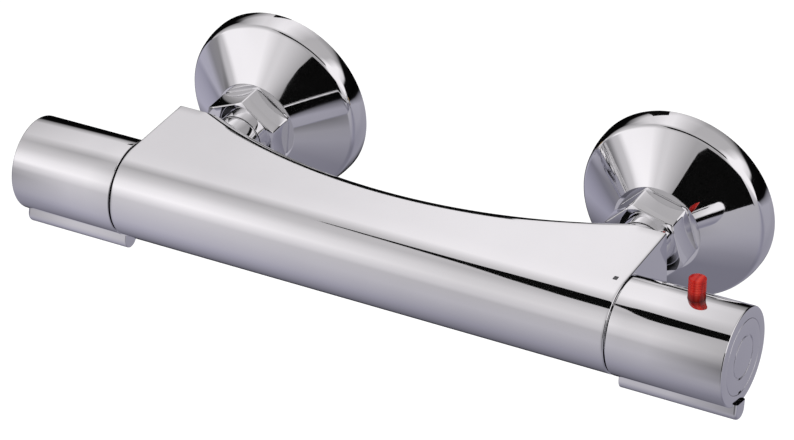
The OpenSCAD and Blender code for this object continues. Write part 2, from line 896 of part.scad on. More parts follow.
module override_button() {
    r = button_d / 2;
    rib = button_h / (2 * button_ribs + 2);
    ribs = [for (i = [0 : button_ribs - 1]) for (k = [0 : 3])
        [bar_r + button_travel + rib * (i + (k < 2 ? 0 : 1 / 2)), k == 0 || k == 3 ? r : r - button_rib_depth]];
    color("red") at_bar() rotate([button_angle, 0, 0]) translate([button_x, 0, 0]) yturn(concat(
        [[button_low, 0], [button_low, button_flange_r], [button_low + button_flange_len, button_flange_r],
        [button_low + button_flange_len, r]], ribs,
        [[bar_r + button_h - button_dome, r], [bar_r + button_h - button_dome / 3, r * 3 / 4],
        [bar_r + button_h, r / 3], [bar_r + button_h, 0]]));
}

module override_spring() {
    color(steel) at_bar() rotate([button_angle, 0, 0]) translate([button_x, hub_r, 0]) rotate([-90, 0, 0])
        coil(override_coil_r, button_low - hub_r, override_wire, override_turns);
}

// Flow side, drawn on the right and mirrored to the left
module left_bar() {
    at_bar() left() children();
}

module flow_headwork() {
    color(brass) left_bar() difference() {
        union() {
            xcyl(flow_end + head_nose_in, head_piston_start + over, head_nose_r);
            xcyl(head_piston_start, seat_x + over, housing_r);
            xcyl(seat_x, half_body + seam, flange_r);
            xhex(half_body + seam - over, half_body + seam + head_hex_len, head_hex_af);
            xcyl(half_body, neck_end, neck_r);
        }
        xcyl(flow_end, fixed_start, head_lip_bore_r);
        xcyl(fixed_start, stem_start + run_gap, head_nose_bore_r);
        xcyl(stem_start, neck_end + over, spindle_r + run_gap);
        for (i = [0 : 2]) rotate([120 * i, 0, 0])
            translate([foot_start - run_gap, -window_w / 2, 0]) cube([window_len, window_w, chamber_r]);
        xtube(seat_x - head_o_ring - o_ring_seat, seat_x - head_o_ring + o_ring_seat, chamber_r + over,
            housing_r - o_ring_floor);
    }
}

module flow_headwork_o_ring() {
    color(rubber) left_bar() x_o_ring(seat_x - head_o_ring, chamber_r - ring_gap, o_ring_wire);
}

module flow_seal() {
    color(rubber) left_bar() xtube(seal_start, fixed_start, seal_r, seal_bore_r);
}

module disc_ports(start) {
    for (side = [-1, 1]) xcyl(start - over, start + disc_len + over, disc_port_r, 0, side * disc_port_ring_r);
}

module flow_fixed_disc() {
    color(ceramic) left_bar() difference() {
        xcyl(fixed_start, moving_start, disc_r);
        disc_ports(fixed_start);
    }
}

module flow_moving_disc() {
    color(ceramic) left_bar() difference() {
        xcyl(moving_start, foot_start, disc_r - pass_gap);
        rotate([flow_open, 0, 0]) disc_ports(moving_start);
    }
}

module flow_spindle() {
    rings = neck_end - 2 * head_ring_pitch;
    color(brass) left_bar() difference() {
        xturn(concat([[foot_start, 0], [foot_start, foot_r], [stem_start, foot_r], [stem_start, spindle_r]],
            [for (i = [0, 1]) for (k = [0 : 3]) [rings + i * head_ring_pitch + (k < 2 ? 0 : spindle_ring_len),
                k == 0 || k == 3 ? spindle_r : spindle_ring_floor]],
            [[neck_end + run_gap, spindle_r], [neck_end + run_gap, circlip_bore_r - seat_gap],
            [neck_end + 2 * run_gap + circlip_len, circlip_bore_r - seat_gap],
            [neck_end + 2 * run_gap + circlip_len, spindle_r], [spindle_end, spindle_r], [spindle_end, 0]]));
        xcyl(screw_start - over, spindle_end + over, screw_r + seat_gap);
        for (side = [0, 1]) mirror([0, side, 0]) translate([foot_start - over, disc_port_ring_r, -foot_r])
            cube([window_len - over, foot_r, 2 * foot_r]);
    }
}

module flow_spindle_o_rings() {
    rings = neck_end - 2 * head_ring_pitch + spindle_ring_len / 2;
    color(rubber) left_bar() for (i = [0, 1]) x_o_ring(rings + i * head_ring_pitch, spindle_r, spindle_ring_wire);
}

module flow_circlip() {
    start = neck_end + run_gap;
    color(steel) left_bar() difference() {
        xtube(start + run_gap, start + circlip_len, circlip_r, circlip_bore_r);
        translate([start - over, 0, -circlip_gap_w / 2]) cube([circlip_len + 2 * over, circlip_r + over, circlip_gap_w]);
    }
}

module flow_stop_ring() {
    left_bar() stop_ring(flow_lug + lug_half + stop_spare, flow_lug - lug_half - flow_open - stop_spare + 360);
}

module flow_adapter() {
    left_bar() adapter(flow_lug);
}

module flow_knob() {
    color(chrome) left_bar() knob_shell(flow_grip);
}

module flow_knob_screw() {
    left_bar() knob_screw();
}

module flow_knob_cap() {
    left_bar() knob_cap(flow_grip);
}

valve_body();
index_mark();
inlet_tail_hot();
inlet_tail_cold();
inlet_tail_seals();
union_nut_hot();
union_nut_cold();
union_washers();
eccentric_union_hot();
eccentric_union_cold();
rosette_hot();
rosette_cold();
check_valve_cage_hot();
check_valve_cage_cold();
check_poppet_hot();
check_poppet_cold();
check_spring_hot();
check_spring_cold();
thermostat_housing();
thermostat_locknut();
thermostat_end_cap();
thermostat_o_rings();
thermostat_strainers();
thermostat_spindle();
thermostat_spindle_o_ring();
regulating_nut();
overload_spring();
overload_cup();
wax_element();
mixing_shuttle();
return_spring();
temperature_stop_ring();
temperature_adapter();
temperature_knob();
temperature_knob_screw();
temperature_knob_cap();
override_button();
override_spring();
flow_headwork();
flow_headwork_o_ring();
flow_seal();
flow_fixed_disc();
flow_moving_disc();
flow_spindle();
flow_spindle_o_rings();
flow_circlip();
flow_stop_ring();
flow_adapter();
flow_knob();
flow_knob_screw();
flow_knob_cap();
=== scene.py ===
# %% [markdown]
# # A chromed thermostatic shower valve
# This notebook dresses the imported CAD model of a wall-mounted bar valve. The CAD model gives every place
# and size. What shows from outside is made again here as smooth, polished surfaces with small rounded
# edges, because chrome shows each facet and each sharp corner.

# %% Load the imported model
import json
import math

import bmesh
import bpy
import numpy as np
from mathutils import Matrix, Vector


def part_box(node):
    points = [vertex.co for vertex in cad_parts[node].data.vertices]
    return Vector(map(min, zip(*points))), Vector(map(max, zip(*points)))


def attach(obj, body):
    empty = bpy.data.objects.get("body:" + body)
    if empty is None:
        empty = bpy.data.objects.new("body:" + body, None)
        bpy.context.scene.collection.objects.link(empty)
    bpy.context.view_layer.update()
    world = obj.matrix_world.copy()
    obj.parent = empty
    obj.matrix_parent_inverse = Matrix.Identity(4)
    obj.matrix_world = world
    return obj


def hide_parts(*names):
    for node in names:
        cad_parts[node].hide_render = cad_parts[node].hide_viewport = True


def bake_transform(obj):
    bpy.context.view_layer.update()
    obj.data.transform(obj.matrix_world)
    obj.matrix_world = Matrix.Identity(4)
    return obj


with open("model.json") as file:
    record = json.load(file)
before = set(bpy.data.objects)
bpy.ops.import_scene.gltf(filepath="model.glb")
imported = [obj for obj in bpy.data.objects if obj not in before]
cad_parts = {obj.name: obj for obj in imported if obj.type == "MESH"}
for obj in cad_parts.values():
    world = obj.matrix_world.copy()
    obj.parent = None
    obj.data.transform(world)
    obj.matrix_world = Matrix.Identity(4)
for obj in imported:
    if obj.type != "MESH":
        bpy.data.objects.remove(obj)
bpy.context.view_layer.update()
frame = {"nodes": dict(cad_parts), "record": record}
nodes = frame["nodes"]
print("CAD nodes:", len(nodes))

# %% [markdown]
# ## Driving sizes
# The bar lies along X. Its axis is a fixed distance in front of the wall, and nearly every size can be read
# from the boxes of the CAD nodes, so a change in the CAD model carries over to these surfaces.

# %% Sizes from the frame, in metres
MM = 0.001
body_low, body_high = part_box("valve_body")
nose_low, nose_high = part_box("rosette_cold")
nut_low, nut_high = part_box("union_nut_cold")
tail_low, tail_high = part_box("inlet_tail_cold")
button_low, button_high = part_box("override_button")
mark_low, mark_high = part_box("index_mark")

BAR_R = body_high.z
AXIS_Y = body_low.y + BAR_R
SPIGOT_LEN = 2.6 * MM
HALF_BODY = body_high.x - SPIGOT_LEN
KNOB_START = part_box("temperature_knob")[0].x
HALF_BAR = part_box("temperature_knob_cap")[1].x
INLET_X = (nose_low.x + nose_high.x) / 2
DECK_REACH = body_high.y - AXIS_Y
CAP_R = 12.1 * MM
CAP_LEN = 1.2 * MM
BUTTON_X = (button_low.x + button_high.x) / 2
BUTTON_R = 2.8 * MM
print("bar radius, mm:", round(BAR_R / MM, 3), "axis to wall, mm:", round(-AXIS_Y / MM, 3))

# %% [markdown]
# ## Surfaces from grids
# Every new surface is a grid of points: rows run along the shape and columns run round it. A turned piece
# is a profile swept round an axis. The sharp corners of a profile are first replaced by small arcs, which
# is what polishing does to a casting.

# %% Grid, profile and turning helpers
SMOOTH_ANGLE = math.radians(32)
MERGE = 1e-7


def skin_faces(rows, columns, loop_rows):
    """Quads of a grid whose columns always close: each joins a point to the next in its row and its column."""
    last = rows if loop_rows else rows - 1
    i, j = np.meshgrid(np.arange(last), np.arange(columns), indexing="ij")
    up, right = (i + 1) % rows, (j + 1) % columns
    corners = [i * columns + j, i * columns + right, up * columns + right, up * columns + j]
    return np.stack(corners, axis=-1).reshape(-1, 4)


def placed(name, data):
    """A new object in the scene, at the origin, that holds the given mesh, lamp or lens."""
    thing = bpy.data.objects.new(name, data)
    bpy.context.scene.collection.objects.link(thing)
    return thing


def make_piece(name, points, loop_rows=False):
    """A mesh object from a grid of points, with rows of one repeated point closed to a pole."""
    rows, columns = points.shape[:2]
    mesh = bpy.data.meshes.new(name)
    mesh.from_pydata(points.reshape(-1, 3).tolist(), [], skin_faces(rows, columns, loop_rows).tolist())
    piece = placed(name, mesh)
    tidy_mesh(piece)
    return piece


def tidy_mesh(piece):
    """Merges doubled points, turns the faces outwards and marks the edges that stay sharp."""
    shape = bmesh.new()
    shape.from_mesh(piece.data)
    bmesh.ops.remove_doubles(shape, verts=shape.verts, dist=MERGE)
    bmesh.ops.recalc_face_normals(shape, faces=shape.faces)
    shape.to_mesh(piece.data)
    shape.free()
    piece.data.shade_smooth()
    piece.data.set_sharp_from_angle(angle=SMOOTH_ANGLE)


def rounded(points, radii, loop=False, steps=5):
    """A profile whose corners are arcs: an arc starts and ends at equal distances from its corner, at most
    0.45 of the shorter side, and a radius of zero leaves the corner sharp. The points are (corner, 2), or
    (corner, column, 2) for a profile that differs from column to column."""
    points = np.array(points, float)
    stack = points if points.ndim == 3 else points[:, None]
    radii = np.broadcast_to(np.array(radii, float), (len(stack),))
    t = np.linspace(-1, 1, steps + 1)[:, None, None]
    out = []
    for k, corner in enumerate(stack):
        if radii[k] <= 0 or (not loop and k in (0, len(stack) - 1)):
            out.append(corner[None])
            continue
        back, ahead = stack[k - 1] - corner, stack[(k + 1) % len(stack)] - corner
        back_len = np.linalg.norm(back, axis=-1, keepdims=True)
        ahead_len = np.linalg.norm(ahead, axis=-1, keepdims=True)
        back, ahead = back / back_len, ahead / ahead_len
        half = np.arccos(np.clip((back * ahead).sum(-1, keepdims=True), -1, 1)) / 2
        bends = half < math.pi / 2 - 0.01
        half = np.where(bends, half, math.pi / 4)
        reach = np.where(bends, np.minimum(radii[k] / np.tan(half), 0.45 * np.minimum(back_len, ahead_len)), 0)
        axis = back + ahead
        axis = axis / np.maximum(np.linalg.norm(axis, axis=-1, keepdims=True), MERGE)
        side = np.stack([-axis[..., 1], axis[..., 0]], axis=-1)
        turn = np.sign((side * back).sum(-1, keepdims=True)) * (half - math.pi / 2) * t
        centre, size = corner + axis * reach / np.cos(half), reach * np.tan(half)
        out.append(centre + size * (side * np.sin(turn) - axis * np.cos(turn)))
    result = np.concatenate(out)
    return result if points.ndim == 3 else result[:, 0]


def turned(name, profile, along="x", centre=(0, 0, 0), loop=True, columns=128, start=0.0):
    """A profile of (place along the axis, radius) pairs swept round the axis: at angle a a point is
    centre + place * axis + radius * (cos a * first + sin a * second)."""
    axis, first, second = {"x": ((1, 0, 0), (0, 1, 0), (0, 0, 1)), "y": ((0, 1, 0), (1, 0, 0), (0, 0, 1)),
                           "z": ((0, 0, 1), (1, 0, 0), (0, 1, 0))}[along]
    profile = np.array(profile, float)
    profile = profile if profile.ndim == 3 else np.repeat(profile[:, None], columns, axis=1)
    angle = start + np.linspace(0, 2 * math.pi, profile.shape[1], endpoint=False)
    ring = np.outer(np.cos(angle), first) + np.outer(np.sin(angle), second)
    points = profile[..., 0:1] * np.array(axis) + profile[..., 1:2] * ring[None]
    return make_piece(name, points + np.array(centre), loop_rows=loop)


def cut(piece, cutter, operation="DIFFERENCE"):
    """Joins or cuts a piece with another closed surface for good, and removes the tool."""
    tool = piece.modifiers.new("cut", "BOOLEAN")
    tool.operation = operation
    tool.solver = "EXACT"
    tool.object = cutter
    graph = bpy.context.evaluated_depsgraph_get()
    mesh = bpy.data.meshes.new_from_object(piece.evaluated_get(graph))
    piece.modifiers.clear()
    piece.data = mesh
    bpy.data.objects.remove(cutter)
    tidy_mesh(piece)


# %% [markdown]
# ## Finishes
# Polished chrome is nearly a mirror, so its detail is in what it reflects. Real plating still has faint
# variations in gloss, which a noise in the roughness gives. Brass, rubber, plastic, ceramic and steel show
# only when the valve is opened, but each has its own grain.

# %% Material helpers
def new_material(name, base, metallic=0.0, roughness=0.5):
    """A Principled material and the parts that every finish uses."""
    material = bpy.data.materials.new(name)
    material.use_nodes = True
    tree = material.node_tree
    shader = tree.nodes["Principled BSDF"]
    shader.inputs["Base Color"].default_value = (*base, 1)
    shader.inputs["Metallic"].default_value = metallic
    shader.inputs["Roughness"].default_value = roughness
    coords = tree.nodes.new("ShaderNodeTexCoord")
    return material, tree, shader, coords.outputs["Object"]


def ramp(tree, value, stops):
    """A colour ramp over a value. Each stop is a place from 0 to 1 with its colour."""
    node = tree.nodes.new("ShaderNodeValToRGB")
    elements = node.color_ramp.elements
    while len(elements) < len(stops):
        elements.new(0.5)
    for element, (place, colour) in zip(elements, stops):
        element.position = place
    for element, (place, colour) in zip(elements, stops):
        element.color = (*colour, 1)
    tree.links.new(value, node.inputs["Fac"])
    return node.outputs["Color"]


def mixed(tree, factor, first, second, blend="MIX"):
    """Two colours mixed. The factor is a number or another node's output."""
    node = tree.nodes.new("ShaderNodeMix")
    node.data_type = "RGBA"
    node.blend_type = blend
    for name, value in (("Factor", factor), ("A", first), ("B", second)):
        connect(tree, value, node.inputs[name])
    return node.outputs["Result"]


def maths(tree, operation, *values):
    """A sum on one or two values, each a number or another node's output."""
    node = tree.nodes.new("ShaderNodeMath")
    node.operation = operation
    for socket, value in zip(node.inputs, values):
        connect(tree, value, socket)
    return node.outputs["Value"]


def connect(tree, value, socket):
    """Sets a socket to a number, or links another node's output to it."""
    if isinstance(value, (int, float)):
        socket.default_value = value
    else:
        tree.links.new(value, socket)


def places_of(tree, coords):
    """The X, Y and Z outputs of a coordinate."""
    node = tree.nodes.new("ShaderNodeSeparateXYZ")
    tree.links.new(coords, node.inputs["Vector"])
    return node.outputs


def noise(tree, coords, scale, detail=3.0, stretch=(1, 1, 1)):
    """Noise in Object coordinates. The stretch draws it out along an axis, as brushing and turning do."""
    mapping = tree.nodes.new("ShaderNodeMapping")
    mapping.inputs["Scale"].default_value = stretch
    texture = tree.nodes.new("ShaderNodeTexNoise")
    texture.inputs["Scale"].default_value = scale
    texture.inputs["Detail"].default_value = detail
    tree.links.new(coords, mapping.inputs["Vector"])
    tree.links.new(mapping.outputs["Vector"], texture.inputs["Vector"])
    return texture.outputs["Fac"]


def spread(tree, value, low, high, first=0.3, last=0.7):
    """Maps a value from one range to another, and holds it at the ends."""
    node = tree.nodes.new("ShaderNodeMapRange")
    node.inputs["From Min"].default_value = first
    node.inputs["From Max"].default_value = last
    node.inputs["To Min"].default_value = low
    node.inputs["To Max"].default_value = high
    tree.links.new(value, node.inputs["Value"])
    return node.outputs["Result"]


def two_tone(tree, value, low, high, socket):
    """Blends two colours by a noise into a colour socket."""
    tree.links.new(ramp(tree, value, [(0.3, low), (0.7, high)]), socket)


def relief(tree, shader, value, distance, strength=1.0):
    """Bumps the surface by a height, in metres."""
    bump = tree.nodes.new("ShaderNodeBump")
    bump.inputs["Distance"].default_value = distance
    bump.inputs["Strength"].default_value = strength
    tree.links.new(value, bump.inputs["Height"])
    tree.links.new(bump.outputs["Normal"], shader.inputs["Normal"])


# %% Chrome and the metals inside
def chrome_finish(name, low, high, gloss=(0.025, 0.055)):
    """Chrome plate: a mirror whose tone and gloss vary a little from place to place."""
    material, tree, shader, coords = new_material(name, high, metallic=1.0)
    two_tone(tree, noise(tree, coords, 35), low, high, shader.inputs["Base Color"])
    tree.links.new(spread(tree, noise(tree, coords, 120, 5), *gloss), shader.inputs["Roughness"])
    return material


def metal_finish(name, low, high, gloss, grain, stretch):
    """Bare metal with drawn-out tool marks."""
    material, tree, shader, coords = new_material(name, high, metallic=1.0)
    marks = noise(tree, coords, grain, 4, stretch)
    two_tone(tree, marks, low, high, shader.inputs["Base Color"])
    tree.links.new(spread(tree, marks, *gloss), shader.inputs["Roughness"])
    relief(tree, shader, marks, 0.00001)
    return material


def moulded_finish(name, low, high, gloss, grain, depth):
    """Moulded or pressed material: a fine even grain with a slight change of tone."""
    material, tree, shader, coords = new_material(name, high)
    two_tone(tree, noise(tree, coords, grain / 12), low, high, shader.inputs["Base Color"])
    fine = noise(tree, coords, grain, 5)
    tree.links.new(spread(tree, fine, *gloss), shader.inputs["Roughness"])
    relief(tree, shader, fine, depth)
    return material


slots = {
    "polished_chrome": chrome_finish("polished_chrome", (0.90, 0.90, 0.905), (0.93, 0.93, 0.935)),
    "machined_brass": metal_finish("machined_brass", (0.62, 0.44, 0.19), (0.76, 0.58, 0.28), (0.22, 0.36),
                                   900, (0.15, 1, 1)),
    "copper_sensor": metal_finish("copper_sensor", (0.66, 0.33, 0.18), (0.80, 0.45, 0.28), (0.25, 0.4),
                                  700, (0.2, 1, 1)),
    "spring_steel": metal_finish("spring_steel", (0.42, 0.43, 0.45), (0.6, 0.61, 0.63), (0.2, 0.32),
                                 1500, (1, 0.3, 1)),
    "black_rubber": moulded_finish("black_rubber", (0.012, 0.012, 0.012), (0.03, 0.03, 0.03), (0.55, 0.75),
                                   2400, 0.00002),
    "moulded_plastic": moulded_finish("moulded_plastic", (0.66, 0.66, 0.61), (0.76, 0.76, 0.71), (0.38, 0.5),
                                      2000, 0.00001),
    "alumina_ceramic": moulded_finish("alumina_ceramic", (0.80, 0.79, 0.75), (0.87, 0.86, 0.83), (0.16, 0.24),
                                      3000, 0.000004),
    "mark_fill": moulded_finish("mark_fill", (0.03, 0.03, 0.033), (0.06, 0.06, 0.065), (0.3, 0.45),
                                3000, 0.000005)}

# %% [markdown]
# The override button is clear red plastic. Lighter and darker stripes along its length are painted highlights
# and shade, and its foot is darkened by painted shade.

# %% The red of the button
def button_finish():
    """Translucent red with painted light. The painted highlight and shade stripes are a ramp over the place
    across the button, and a second ramp over the height above the bar's axis paints shade on the foot."""
    material, tree, shader, coords = new_material("red_button", (0.50, 0.016, 0.014), roughness=0.16)
    parts = places_of(tree, coords)
    across = spread(tree, parts["X"], 0, 1, BUTTON_X - BUTTON_R, BUTTON_X + BUTTON_R)
    # Painted highlights and shade: the lighter and darker stripes across the button stand in for reflections of
    # the studio.
    painted_light_stripes = ramp(tree, across, [(0, (0.3, 0.008, 0.012)), (0.2, (0.44, 0.012, 0.010)),
                                  (0.42, (0.55, 0.02, 0.01)), (0.55, (0.42, 0.010, 0.008)),
                                  (0.68, (0.66, 0.06, 0.04)), (0.8, (0.6, 0.03, 0.02)),
                                  (0.9, (0.36, 0.010, 0.010)), (1, (0.5, 0.03, 0.02))])
    # Painted shade: this ramp over the height darkens the button's foot next to the bar.
    height = spread(tree, parts["Z"], 0, 1, BAR_R, BAR_R + 7 * MM)
    foot = ramp(tree, height, [(0, (0.25, 0.2, 0.2)), (0.28, (0.6, 0.5, 0.5)), (0.4, (1, 1, 1)),
                               (1, (1, 0.9, 0.9))])
    tree.links.new(mixed(tree, 1, painted_light_stripes, foot, "MULTIPLY"), shader.inputs["Base Color"])
    tree.links.new(spread(tree, noise(tree, coords, 900), 0.12, 0.22), shader.inputs["Roughness"])
    shader.inputs["Specular IOR Level"].default_value = 0.2
    shader.inputs["IOR"].default_value = 1.49
    return material


slots["red_button"] = button_finish()

# %% [markdown]
# ## The CAD nodes that stay
# The cartridges and seals inside keep their CAD solids, which have the right shape. Each only gets the
# finish of its material slot.

# %% Finish the CAD nodes
slot_of = {part["node"]: part["material_slot"] for part in frame["record"]["subparts"]}
for name, node in nodes.items():
    node.data.materials.clear()
    node.data.materials.append(slots[slot_of[name]])
print("slots used:", sorted(set(slot_of.values())))


def finish_piece(piece, body, node):
    """Gives a new piece its body, its finish and the CAD node that it stands for."""
    slot = slot_of[node]
    piece.data.materials.clear()
    piece.data.materials.append(slots[slot])
    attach(piece, body)
    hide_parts(node)
    print(piece.name, "faces:", len(piece.data.polygons))
    return piece


# %% [markdown]
# ## The springs
# Four coils are pressed by a piece that slides. Each is replaced by a smooth copy of the CAD's coil.

# %% Pressed springs
PRESSED_BY = {"return_spring": "mixing_shuttle", "override_spring": "override_button",
              "check_spring_hot": "check_poppet_hot", "check_spring_cold": "check_poppet_cold"}


def centre_of(name):
    """The centre of a CAD node's box."""
    low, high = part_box(name)
    return (Vector(low) + Vector(high)) / 2


def pressed_spring(name, joint):
    """A smoothed copy of the coil in the CAD node's place. It finds the joint's axis and turns it towards the
    piece that presses the coil, but ties neither end to a body."""
    mesh = nodes[name].data.copy()
    mesh.transform(nodes[name].matrix_world)
    spring = placed("v_" + name, mesh)
    tidy_mesh(spring)
    points = np.empty(3 * len(mesh.vertices), dtype=np.float32)
    mesh.vertices.foreach_get("co", points)
    along = Vector(joint["axis"]).normalized()
    centre = centre_of(name)
    if (centre_of(PRESSED_BY[name]) - centre).dot(along) < 0:
        along = -along
    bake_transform(spring)
    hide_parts(name)


for joint in frame["record"]["behaviour"]["joints"]:
    for entry in joint.get("deforming_nodes", []):
        pressed_spring(entry["node"], joint)

# %% [markdown]
# ## The body
# The body is one brass casting: a bar, round in front, whose top and bottom run back as a flat deck. In
# plan the deck has a long shallow waist, blended into two square ends. The section changes only in how far
# the deck reaches back, so the skin is one section drawn for each place along the bar. The waist's wall
# rolls into the top and the underside, and that roll gives the dark line along the rear edge. At each end
# the section shrinks by a small round, steps in to the spigot and runs on into the chamber.

# %% Body sizes
WAIST_REACH = 15.1 * MM
WAIST_R = 182.2 * MM
WAIST_FILLET = 4 * MM
BLEND_R = 15 * MM
EDGE_R = 0.45 * MM
SPIGOT_R = 13.2 * MM
MOUTH_R = 11.2 * MM
MOUTH_DEPTH = 6.3 * MM
CHAMBER_R = 10.4 * MM
THERMO_END = 29.5 * MM
FLOW_END = 45 * MM
BOSS_R = 12.6 * MM
BOSS_RUN = 15.2 * MM
TAIL_HOLE_LEN = 11 * MM
TAIL_R = 10.4 * MM
INLET_BORE = 6.5 * MM
OUTLET_FACE_R = 12 * MM
OUTLET_FACE_Z = 12.3 * MM
OUTLET_DEPTH = 10.6 * MM

waist_cy = WAIST_REACH + WAIST_R
blend_cy = DECK_REACH - BLEND_R
blend_cx = math.sqrt((WAIST_R + BLEND_R) ** 2 - (waist_cy - blend_cy) ** 2)
touch_x = blend_cx * WAIST_R / (WAIST_R + BLEND_R)


def deck_reach(x):
    """How far the deck reaches behind the axis: the long arc up to where it touches the blend, then the
    blend's arc, then the straight rear edge."""
    x = np.abs(x)
    waist = waist_cy - np.sqrt(np.maximum(WAIST_R ** 2 - x ** 2, 0))
    blend = blend_cy + np.sqrt(np.maximum(BLEND_R ** 2 - (x - blend_cx) ** 2, 0))
    return np.where(x < touch_x, waist, np.where(x < blend_cx, blend, DECK_REACH))


def rear_profile(x, reach, inset):
    """The deck's top from above the axis to half-way down its rear wall, as (y, z). Behind the waist's arc
    the wall rolls into the top by a fillet: at fillet angle a the distance from the arc's centre is
    waist radius + fillet * (1 - sin a), and the drop is fillet * (1 - cos a). The deck's end cuts the
    fillet off where it leaves the arc, and a small round takes what corner is left."""
    top, back, edge = BAR_R - inset, reach - inset, max(EDGE_R - inset, 0.02 * MM)
    spare = math.hypot(x, waist_cy - reach) - WAIST_R
    full = math.asin(np.clip(1 - spare / WAIST_FILLET, 0, 1))
    a = np.linspace(0, max(full - edge * math.tan((math.pi / 2 - full) / 2) / WAIST_FILLET, 0), 13)
    away = WAIST_R + WAIST_FILLET * (1 - np.sin(a))
    roll_y = np.minimum(waist_cy - np.sqrt(away ** 2 - x ** 2), back - edge)
    roll = np.stack([roll_y, top - WAIST_FILLET * (1 - np.cos(a))], axis=-1)
    flat = np.stack([np.linspace(0, roll_y[0], 8)[:-1], np.full(7, top)], axis=-1)
    corner_z = top - WAIST_FILLET * (1 - math.cos(full))
    drop = edge * (1 - math.sin(full)) / max(math.cos(full), MERGE) if full < 1.55 else 0
    b = np.linspace(full, math.pi / 2, 6)[1:]
    corner = np.stack([back - edge + edge * np.sin(b), corner_z - drop + edge * np.cos(b)], axis=-1)
    wall = np.array([[back, 0.6 * corner[-1][1]], [back, 0.25 * corner[-1][1]]])
    return np.concatenate([flat, roll, corner, wall])


def body_section(x, reach, inset):
    """One section of the body as points (y, z): the half-round front from the top down, the underside and
    rear wall, and the top back to the start. The inset shrinks it evenly."""
    a = np.linspace(0, math.pi, 73)[:-1]
    front = (BAR_R - inset) * np.stack([-np.sin(a), np.cos(a)], axis=-1)
    rear = rear_profile(x, reach, inset)
    return np.concatenate([front, rear * (1, -1), rear[:0:-1]])


# %% Body skin
def body_rows():
    """The skin's rows as (x, section): the outside from left to right, closed at each end by the spigot,
    the mouth and the chamber, drawn as circles with the same angles as the section's points."""
    inner = np.concatenate([np.linspace(0, touch_x, 60), np.linspace(touch_x, blend_cx, 14)[1:],
                            np.linspace(blend_cx, HALF_BODY - EDGE_R, 24)[1:]])
    places = np.concatenate([-inner[:0:-1], inner])
    rows = [(x, body_section(x, float(deck_reach(x)), 0)) for x in places]
    for t in np.linspace(0, math.pi / 2, 6)[1:]:
        x = HALF_BODY - EDGE_R + EDGE_R * math.sin(t)
        ring = body_section(x, DECK_REACH, EDGE_R * (1 - math.cos(t)))
        rows.append((x, ring))
        rows.insert(0, (-x, ring))
    angle = np.arctan2(rows[-1][1][:, 1], rows[-1][1][:, 0])
    circle = np.stack([np.cos(angle), np.sin(angle)], axis=-1)
    seat, lip = HALF_BODY - MOUTH_DEPTH, HALF_BODY + SPIGOT_LEN
    for side, end in ((1, THERMO_END), (-1, FLOW_END)):
        steps = [(HALF_BODY, SPIGOT_R), (lip - EDGE_R / 2, SPIGOT_R), (lip, SPIGOT_R - EDGE_R / 2),
                 (lip, MOUTH_R), (seat, MOUTH_R), (seat, CHAMBER_R), (end, CHAMBER_R), (end, 0)]
        extra = [(side * x, circle * r) for x, r in steps]
        rows = rows + extra if side > 0 else extra[::-1] + rows
    return rows


rows = body_rows()
grid = np.array([np.concatenate([np.full((len(s), 1), x), s], axis=-1) for x, s in rows])
body = make_piece("body_casting", grid + np.array([0, AXIS_Y, 0]))

# %% [markdown]
# The tails screw into two round bosses behind the deck, and the hose screws into a threaded socket
# underneath. A pipe thread is a ridge that climbs one pitch in a turn, so the socket's radius is a
# triangle wave of height less angle.

# %% Bosses and the threaded outlet
THREAD_PITCH = 1.814 * MM
THREAD_MAJOR = 10.4775 * MM
THREAD_MINOR = 9.3155 * MM


def thread_radius(place, angle, shape=1.6):
    """Radius of a thread: between minor and major by a triangle wave of place / pitch - angle / turn, with
    its crests and roots flattened."""
    phase = (place / THREAD_PITCH - angle / (2 * math.pi)) % 1
    wave = np.clip((np.abs(2 * phase - 1) - 0.5) * shape + 0.5, 0, 1)
    return THREAD_MINOR + (THREAD_MAJOR - THREAD_MINOR) * wave


def threaded(name, low, high, fades, before, after, centre, along, inward):
    """A closed threaded plug between two heights. The thread fades out towards each end over the given
    lengths, and the rows before and after, as (place, radius), close the plug."""
    columns = 96
    angle = np.linspace(0, 2 * math.pi, columns, endpoint=False)
    place = np.linspace(low, high, int((high - low) / THREAD_PITCH * 14))[:, None]
    rest = THREAD_MAJOR if inward else THREAD_MINOR
    weight = np.clip((place - low) / fades[0], 0, 1) * np.clip((high - place) / fades[1], 0, 1)
    radius = rest + (thread_radius(place, angle[None]) - rest) * weight
    rows = np.stack([np.broadcast_to(place, radius.shape), radius], axis=-1)
    ends = [np.repeat(np.array(part, float)[:, None], columns, axis=1) for part in (before, after)]
    return turned(name, np.concatenate([ends[0], rows, ends[1]]), along, centre, loop=False)


for side in (-1, 1):
    inlet = (side * INLET_X, AXIS_Y, 0)
    start, rear, past = DECK_REACH - BOSS_RUN, DECK_REACH, DECK_REACH + MM
    boss = rounded([(start, 0), (start, BOSS_R), (rear, BOSS_R), (rear, 0)], EDGE_R)
    cut(body, turned("boss", boss, "y", inlet, loop=False), "UNION")
    bottom, seat = start + MM, rear - TAIL_HOLE_LEN
    hole = [(bottom, 0), (bottom, INLET_BORE), (seat, INLET_BORE), (seat, TAIL_R), (past, TAIL_R), (past, 0)]
    cut(body, turned("tail_hole", hole, "y", inlet, loop=False))

OUT = BAR_R + 2 * MM
socket_end = OUTLET_DEPTH - OUTLET_FACE_Z
socket = threaded("socket", -OUTLET_FACE_Z, socket_end, (1.2 * MM, 1.5 * MM),
                  [(-OUT, 0), (-OUT, OUTLET_FACE_R), (-OUTLET_FACE_Z, OUTLET_FACE_R)], [(socket_end, 0)],
                  (0, AXIS_Y, 0), "z", True)
cut(body, socket)


